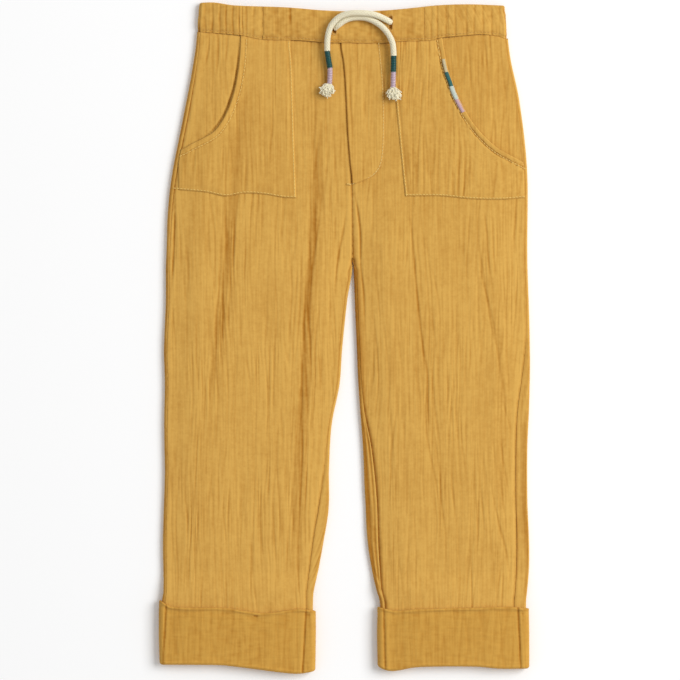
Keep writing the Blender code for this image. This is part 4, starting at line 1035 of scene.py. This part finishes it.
move = relief * (0.35 + 0.65 * ease(rise, 0.8)) * ease((1 - part) * 22, 1.2) - edges
outward = np.where(x > LEFT_ROLL_FROM, 1, 0) - np.where(x < RIGHT_ROLL_FROM, 1, 0)
face = spots(x + move * outward * np.sin(np.pi * rise), y, np.maximum(z - move * np.cos(np.pi * rise), 0.0))
lining = spots(inner_x, y, inner_z + 0.4 * edges * np.sign(inner_z - BAND_EDGE_RADIUS))
# Painted shade in its creases, and a little all over
band_elastic = cloth_shell("cloth_waistband_elastic", face, lining, move * 0.8, 0.10, spots(run, y))
sew_on(band_elastic, "gathered_gauze", held="gathered", **cut_of(x, y, z, 1.25))


def band_line(start, end, count):
    """Points on the band's face, just above its seam."""
    x = np.linspace(start, end, count)
    y = along(WAIST_SEAM, x) + 1.5
    return spots(x, y, band_height(x, y) + 0.02)


band_lines = [band_line(-55, 54, 90), band_line(-96.5, -57.5, 40), band_line(56, 107, 50)]
stitch("stitching_waistband", band_lines, matching_thread, 2.4, 1.9, 0.34)

# ---------------------------------------------------------------------------------------------
# Buttonholes
# Two upright slots in the band's plain front, each edged with close satin stitch in the gauze's
# own colour. The drawstring comes out through them.

RIM_HALF_WIDTH, RIM_HALF_LENGTH = 1.75, 5.4

angle = np.linspace(0, 2 * np.pi, 60)
rim_x, rim_y = [np.sign(way) * np.abs(way) ** 0.5 for way in (np.cos(angle), np.sin(angle))]
for (slot_x, slot_y), node in zip(SLOTS, ("buttonhole_right", "buttonhole_left")):
    x, y = slot_x + rim_x * RIM_HALF_WIDTH, slot_y + rim_y * RIM_HALF_LENGTH
    rim = spots(x, y, band_height(x, y) + 0.02)
    stitch("thread_" + node, [rim], matching_thread, 0.34, 0.42, 1.15, 0.5, 0.1, node=node)

# ---------------------------------------------------------------------------------------------
# Turned-up cuffs
# The end of each leg is turned up about 40 mm and lies over the leg as a ring, with the leg's
# side seam and inseam running on through it. It is held by a few hidden stitches at the seams.

CUFF_WALL = 1.6
CUFF_DEPTH = 48.0
CUFF_MIDDLE_Y = -205.0
MIDDLE_LEVEL = 16  # the level whose run round the leg is the cuff's width
RIGHT_CUFF_TOP = (
    (-127, -180.6), (-119, -184.6), (-82, -185.6), (-57, -189.0), (-30, -186.4), (-19, -188.2),
)
LEFT_CUFF_TOP = (
    (22, -184.9), (35, -187.4), (52, -186.3), (80, -185.6), (113, -184.9), (126, -186.2),
)
turned_gauze = gauze("mustard_gauze_wrong_side", (0.600, 0.322, 0.058), cross=0.12)


def cuff_levels():
    """The hem in section, from its raw top edge round the fold and back up inside: how far each
    level is inset, and its height as parts of the top's and the fold's height plus a rest."""
    levels = [(0.55, 1, 0, 0.0), (0.2, 1, 0, -0.12), (0.0, 1, 0, -0.55)]
    even = np.linspace(0, 1, 49)[1:]
    spaced = even - 0.6 * np.sin(2 * np.pi * even) / (2 * np.pi)
    levels += [(0.0, 1 - f, f, -0.55 * (1 - f) + CUFF_TURN * f) for f in spaced]
    for angle in np.radians(np.linspace(0, 180, 11)[1:]):
        levels.append((CUFF_TURN * (1 - math.cos(angle)), 0, 1, CUFF_TURN * (1 - math.sin(angle))))
    inside = 2 * CUFF_TURN - 0.5
    levels += [(2 * CUFF_TURN, 0, 1, inside), (CUFF_WALL, 0, 1, inside)]
    levels += [(CUFF_WALL, f, 1 - f, inside * (1 - f) - 0.6 * f) for f in np.linspace(0, 1, 8)[1:]]
    return np.array(levels + [(CUFF_WALL - 0.4, 1, 0, -0.1)])


def cuff_ring(leg, top_edge, inset, of_top, of_fold, rest):
    """x, y and z of the ring, across the floor, up round the inner edge, over the front and down
    round the outer edge, and how many places each of the four has."""
    radius = EDGE_RADIUS + CUFF_OUTSET
    floor, top = np.linspace(0.02, 0.98, 49), np.linspace(0.995, 0.005, 150)
    up, down = np.radians(np.linspace(4, 176, 13)), np.radians(np.linspace(176, 4, 13))
    counts = [len(part) for part in (floor, up, top, down)]
    cuts = np.cumsum(counts)[:3]
    # Each level's height hangs on where it runs, and that on its height: four rounds settle both
    y = np.full((len(inset), sum(counts)), CUFF_MIDDLE_Y)
    for _ in range(4):
        wide = np.split(leg.outer(y) + leg.side * CUFF_OUTSET, cuts, axis=1)
        tight = np.split(leg.inner(y) - leg.side * CUFF_OUTSET, cuts, axis=1)
        start, end = wide[2] - leg.side * radius, tight[2] + leg.side * radius
        x = np.concatenate([
            wide[0] + (tight[0] - wide[0]) * (0.03 + 0.94 * floor),
            tight[1] + leg.side * (radius - (radius - inset) * np.sin(up)),
            start + (end - start) * top,
            wide[3] - leg.side * (radius - (radius - inset) * np.sin(down)),
        ], axis=1)
        y = of_top * along(top_edge, x) + of_fold * along(leg.hem, x) + rest
    top_x, top_y = np.split(x, cuts, axis=1)[2], np.split(y, cuts, axis=1)[2]
    z = np.concatenate([
        inset + 0 * floor, radius - (radius - inset) * np.cos(up),
        leg.height(top_x, top_y) + CUFF_OUTSET - inset, radius - (radius - inset) * np.cos(down),
    ], axis=1)
    return x, y, z, counts


def cuff_piece(name, leg, top_edge, seams, seed):
    inset, of_top, of_fold, rest = [column[:, None] for column in cuff_levels().T]
    x, y, z, counts = cuff_ring(leg, top_edge, inset, of_top, of_fold, rest)
    run, below = run_along(x, z), along(top_edge, x) - y
    relief = crinkle(x, y, seed + 2, 0.25)
    relief += 0.09 * waves(x / 7, y / 5, seed) + 0.10 * waves(x / 10, y / 1.4, seed + 1)
    relief -= 0.13 * (1 - ease(np.abs(waves(x / 40, y / 4.2, seed + 8)), 0.3))
    relief -= 0.11 * (1 - ease(np.abs(waves(x / 4.6, y / 45, seed + 7)), 0.3))
    relief += 0.72 * hump(below - 1.1, 0.9) * (1 + 0.6 * waves(x / 9, 0.5, seed + 3))
    relief -= 0.50 * hump(below - 3.9, 1.6) * (0.7 + 0.7 * waves(x / 9, y / 30, seed + 4))
    relief += 0.42 * hump(y - along(leg.hem, x) - 1.6, 0.8)
    relief -= 0.9 * hump(x + 61.1, 1.6) * hump(below - 2.6, 0.55)
    for low, high in seams:
        seam_x = low + (high - low) * np.clip((y + 228) / 42, 0, 1)
        relief -= 0.75 * hump(x - seam_x, 0.55) * (1 + 0.3 * waves(0, y / 3, seed + 5))
        relief += 0.22 * hump(x - seam_x - 2.0 * leg.side, 1.4)
    move = relief * np.repeat([0.12, 0.5, 1.0, 0.5], counts) * ease(1.0 - inset, 1.0)
    ids = np.pad(np.arange(x.size).reshape(x.shape), ((0, 1), (0, 1)), mode="wrap")
    face, cloth = spots(x, y, np.maximum(z + move, 0.0)).reshape(-1, 3), spots(run, y).reshape(-1, 2)
    piece = add_mesh(name, face, quads(ids), turned_gauze, cloth, crease_shade(move))
    flat = (run[MIDDLE_LEVEL].max() * MM, CUFF_DEPTH * MM)
    sew_on(piece, flat=flat, held="folded", rests_on=["front_leg_" + leg.own("right", "left")])


cuff_piece("cloth_cuff_right", RIGHT, RIGHT_CUFF_TOP, ((-125.2, -122.8), (-28.8, -26.4)), 241)
cuff_piece("cloth_cuff_left", LEFT, LEFT_CUFF_TOP, ((28.1, 27.0), (121.2, 119.3)), 263)

# ---------------------------------------------------------------------------------------------
# Drawstring
# A braided cotton cord about 4 mm thick. Its run inside the band isn't seen: its two free ends
# come out of the buttonholes, cross in an arch and hang down beside the fly.

CORD_RADIUS = 2.1
BRAID_DEPTH = 0.17
RIGHT_CORD_ROUTE = (
    (-6.7, 213.2, 6.3), (-5.2, 214.5, 7.95), (-3.6, 215.7, 8.8), (-1.0, 217.6, 9.15), (2.4, 219.3, 9.2),
    (7.2, 220.3, 9.2), (14.1, 220.1, 9.2), (20.4, 217.7, 9.2), (25.9, 213.9, 9.4), (30.4, 208.4, 9.6),
    (33.1, 202.2, 9.5), (33.8, 193.9, 9.4),
)
LEFT_CORD_ROUTE = (
    (31.8, 217.2, 6.3), (30.0, 218.2, 7.95), (28.2, 219.1, 8.9), (25.2, 220.5, 9.7), (21.7, 221.8, 10.8),
    (17.6, 222.7, 11.8), (10.7, 223.2, 12.6), (3.8, 222.9, 12.5), (-2.4, 221.1, 11.8), (-7.0, 217.5, 11.0),
    (-10.2, 212.5, 10.2), (-11.7, 205.6, 9.4), (-11.9, 197.3, 8.8),
)


def smooth_route(points, step):
    """Places about a step apart on a smooth curve through the route's own points."""
    points = np.array(points, dtype=float)
    padded = [points[0], *points, points[-1]]
    places = []
    for before, start, end, after in zip(padded, points, points[1:], padded[3:]):
        count = max(1, round(float(np.linalg.norm(end - start)) / step))
        parts = np.arange(count)[:, None] / count
        places.append(bend(start, end, (end - before) / 2, (after - start) / 2, parts))
    return np.concatenate([*places, points[-1:]])


def unit(ways):
    """The same directions with a length of 1."""
    return ways / np.linalg.norm(ways, axis=1)[:, None]


cord_cotton = thread_finish("cream_cord", (0.92, 0.84, 0.63), 0.85, sheen=0.15, hollows=(0.66, 0.53, 0.33))


def braided_cord(name, route):
    """A closed tube along the route, with the strands of the braid standing out of it."""
    line = smooth_route(route, 0.36)
    tangent = unit(np.gradient(line, axis=0))
    side = unit(np.cross(tangent, (0.0, 0.0, 1.0)))
    up = np.cross(side, tangent)
    run = np.concatenate([[0], np.cumsum(np.linalg.norm(np.diff(line, axis=0), axis=1))])[:, None]
    angle = np.linspace(0, 2 * np.pi, 37)[:-1]
    strands = np.maximum(np.cos(6 * angle + run * 3.0), np.cos(6 * angle - run * 3.0))
    radius = CORD_RADIUS + BRAID_DEPTH * (strands - 1) + 0.09 * waves(run / 1.4, angle * 2.4, 307)
    rim = np.cos(angle)[:, None] * side[:, None] + np.sin(angle)[:, None] * up[:, None]
    points = (line[:, None] + radius[..., None] * rim).reshape(-1, 3)
    ids = np.pad(np.arange(radius.size).reshape(radius.shape), ((0, 0), (0, 1)), mode="wrap")
    faces = quads(ids)
    for end, middle in ((ids[0], radius.size), (ids[-1], radius.size + 1)):
        faces += [[int(one), int(other), middle] for one, other in zip(end, end[1:])]
    flat = np.concatenate([spots(angle, run).reshape(-1, 2), np.zeros((2, 2))])
    # Painted shade between the braid's strands
    hollow = np.append(np.clip(0.55 - 0.75 * strands, 0, 1), [0, 0])
    piece = add_mesh(name, np.concatenate([points, line[[0, -1]]]), faces, cord_cotton, flat, hollow)
    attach(piece, "root")
    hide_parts(name.replace("cord_", ""))
    return piece, line


cords = {
    "right": braided_cord("cord_drawstring_right", RIGHT_CORD_ROUTE),
    "left": braided_cord("cord_drawstring_left", LEFT_CORD_ROUTE),
}

# ---------------------------------------------------------------------------------------------
# Thread wraps
# Each free end is whipped with close turns of green and then lilac thread, wound round the cord
# and pulled tight, so the whipping is thinner than the cord.

WRAPS = (
    ("wrap_green_right", ((33.8, 193.5, 9.4), (33.7, 188.0, 9.3), (33.6, 182.9, 9.3)), 1.53),
    ("wrap_lilac_right", ((33.6, 182.5, 9.3), (33.5, 177.5, 9.2), (33.3, 172.6, 9.1)), 1.35),
    ("wrap_green_left", ((-11.9, 196.9, 8.8), (-11.0, 191.3, 8.6), (-10.0, 185.9, 8.4)), 1.53),
    ("wrap_lilac_left", ((-10.0, 185.5, 8.4), (-10.0, 180.0, 8.3), (-10.3, 175.1, 8.2)), 1.35),
)


def winding_tree():
    """Rings of thread side by side along a path, over a plain core."""
    tree, add, given = new_tree("Winding", "Pitch", "Radius", "Strand", "Tilt")
    ring, strand, core = [
        add("GeometryNodeCurvePrimitiveCircle", {"Radius": given[size], "Resolution": resolution})
        for size, resolution in (("Radius", 24), ("Strand", 6), ("Radius", 16))
    ]
    one_turn = add("GeometryNodeCurveToMesh", {"Curve": ring, "Profile Curve": strand})
    inside = {"Curve": given["Geometry"], "Profile Curve": core, "Fill Caps": True}
    wound = set_along(add, given, "Pitch", one_turn, {"X": given["Tilt"]})
    both = add("GeometryNodeJoinGeometry", {"Geometry": wound})
    feed(both, {"Geometry": add("GeometryNodeCurveToMesh", inside)})
    finish_tree(add, given, both)
    return tree


winding = winding_tree()
wrap_threads = {
    "green_thread": thread_finish("green_thread", (0.004, 0.078, 0.072), 0.35, 0.5),
    "lilac_thread": thread_finish("lilac_thread", (0.58, 0.43, 0.50), 0.25, 1.0),
}
for node, route, radius in WRAPS:
    values = {"Pitch": 1.1 * MM, "Radius": radius * MM, "Strand": 0.56 * MM, "Tilt": 0.2}
    path = path_curve(node + "_path", [smooth_route(route, 1.0)])
    thread = node.split("_")[1] + "_thread"
    grow("thread_" + node, path, winding, values, wrap_threads[thread], node)

# ---------------------------------------------------------------------------------------------
# Tassels
# Below the whipping the cord's yarns are left loose and frayed. The right cord's tassel has
# sprung out into a ball, and the left cord's has fanned out flat.

# Root, middle and half size of the tuft, and how many yarns
TASSELS = (
    ("tassel_right", (33.4, 172.2, 9.1), (34.1, 167.2, 9.6), (6.0, 4.9, 2.9), 250),
    ("tassel_left", (-10.4, 174.8, 8.4), (-12.0, 169.9, 9.0), (5.8, 5.2, 2.3), 240),
)


def strand_tree():
    """One curled yarn on each root point, turned and sized by the point's own attributes."""
    tree, add, given = new_tree("Frayed yarns", "Yarn", "Curl")
    bends = {"Start": (0.0, 0.0, 0.0), "Middle": (0.22, 0.0, 0.55), "End": (-0.05, 0.0, 1.0)}
    arc = add("GeometryNodeCurveQuadraticBezier", {"Resolution": 9, **bends})
    aim, reach = [
        add("GeometryNodeInputNamedAttribute", {"Name": name}, data_type=kind).outputs["Attribute"]
        for name, kind in (("aim", "FLOAT_VECTOR"), ("reach", "FLOAT"))
    ]
    upright = add("FunctionNodeAlignRotationToVector", {"Vector": aim}, axis="Z")
    spin = add("FunctionNodeRandomValue", {2: 0.0, 3: 6.2832, "Seed": 5}, data_type="FLOAT")
    ways = {"Rotation": upright, "Rotate By": add("ShaderNodeCombineXYZ", {"Z": spin.outputs[1]})}
    turn = add("FunctionNodeRotateRotation", ways, rotation_space="LOCAL")
    place = add("GeometryNodeInstanceOnPoints", {
        "Points": given["Geometry"], "Instance": arc, "Rotation": turn, "Scale": reach,
    })
    noise = add("ShaderNodeTexNoise", {"Vector": add("GeometryNodeInputPosition"), "Scale": 480.0})
    middle = {0: noise.outputs["Color"], 1: (0.5, 0.5, 0.5)}
    centred = add("ShaderNodeVectorMath", middle, operation="SUBTRACT")
    sway = add("ShaderNodeVectorMath", {0: centred, "Scale": given["Curl"]}, operation="SCALE")
    plain = add("GeometryNodeRealizeInstances", {"Geometry": place})
    swayed = add("GeometryNodeSetPosition", {"Geometry": plain, "Offset": sway})
    ring = add("GeometryNodeCurvePrimitiveCircle", {"Radius": given["Yarn"], "Resolution": 5})
    tube = add("GeometryNodeCurveToMesh", {"Curve": swayed, "Profile Curve": ring, "Fill Caps": True})
    finish_tree(add, given, tube)
    return tree


yarns = strand_tree()
yarn_cotton = thread_finish("frayed_cotton", (0.97, 0.83, 0.61), 0.9, sheen=0.4)
for node, root, middle, half_size, count in TASSELS:
    rng = np.random.default_rng(401 + count)
    ways = unit(rng.normal(0, 1, (count, 3)))
    tips = np.array(middle) + ways * np.array(half_size) * rng.uniform(0.5, 1.0, count)[:, None]
    starts = np.array(root) + rng.normal(0, 0.5, (count, 3)) * (1.0, 0.6, 0.8)
    mesh = bpy.data.meshes.new(node + "_roots")
    mesh.from_pydata((starts * MM).tolist(), [], [])
    aims = tips - starts
    mesh.attributes.new("aim", "FLOAT_VECTOR", "POINT").data.foreach_set("vector", unit(aims).ravel())
    lengths = np.linalg.norm(aims, axis=1) * MM
    mesh.attributes.new("reach", "FLOAT", "POINT").data.foreach_set("value", lengths)
    values = {"Yarn": 0.37 * MM, "Curl": 2.0 * MM}
    roots = lay_out(node + "_roots", mesh)
    grow("yarns_" + node, roots, yarns, values, yarn_cotton, node)

for side, (cord, line) in cords.items():
    length = float(np.linalg.norm(np.diff(line, axis=0), axis=1).sum()) * MM

# ---------------------------------------------------------------------------------------------
# Studio
# A plain white floor, soft light from a large panel at the upper right and from all round, and a
# long lens straight above, as the garment was photographed.

FLOOR_REACH, FLOOR_Z = 3.0, -0.0002
VIEW_WIDTH = 0.4692
LENS, SENSOR = 200.0, 36.0

floor_white = new_finish("white_floor", {
    "Base Color": (0.975, 0.975, 0.975, 1.0), "Roughness": 0.9, "Specular IOR Level": 0.1,
})[0]
corners = [(x * FLOOR_REACH, y * FLOOR_REACH, FLOOR_Z) for x, y in ((-1, -1), (1, -1), (1, 1), (-1, 1))]
floor_mesh = bpy.data.meshes.new("floor")
floor_mesh.from_pydata(corners, [], [(0, 1, 2, 3)])
floor_mesh.materials.append(floor_white)
lay_out("floor", floor_mesh)

world = bpy.data.worlds.new("studio")
world.use_nodes = True
feed(world.node_tree.nodes["Background"], {"Color": (1.0, 1.0, 1.0, 1.0), "Strength": 0.53})
bpy.context.scene.world = world

panel = bpy.data.lights.new("key", "AREA")
panel.shape, panel.size, panel.size_y, panel.energy = "RECTANGLE", 2.2, 2.6, 130.0
key = lay_out("key", panel)
key.location = (2.75, 0.95, 2.7)
key.rotation_euler = (math.radians(-13.8), math.radians(45.5), 0)

lens = bpy.data.cameras.new("camera")
lens.lens, lens.sensor_width = LENS, SENSOR
lens.clip_start, lens.clip_end = 0.05, 20.0
camera = lay_out("camera", lens)
camera.location = (-0.0031, -0.0014, VIEW_WIDTH * LENS / SENSOR)
bpy.context.scene.camera = camera
bpy.context.scene.view_settings.view_transform = "Standard"
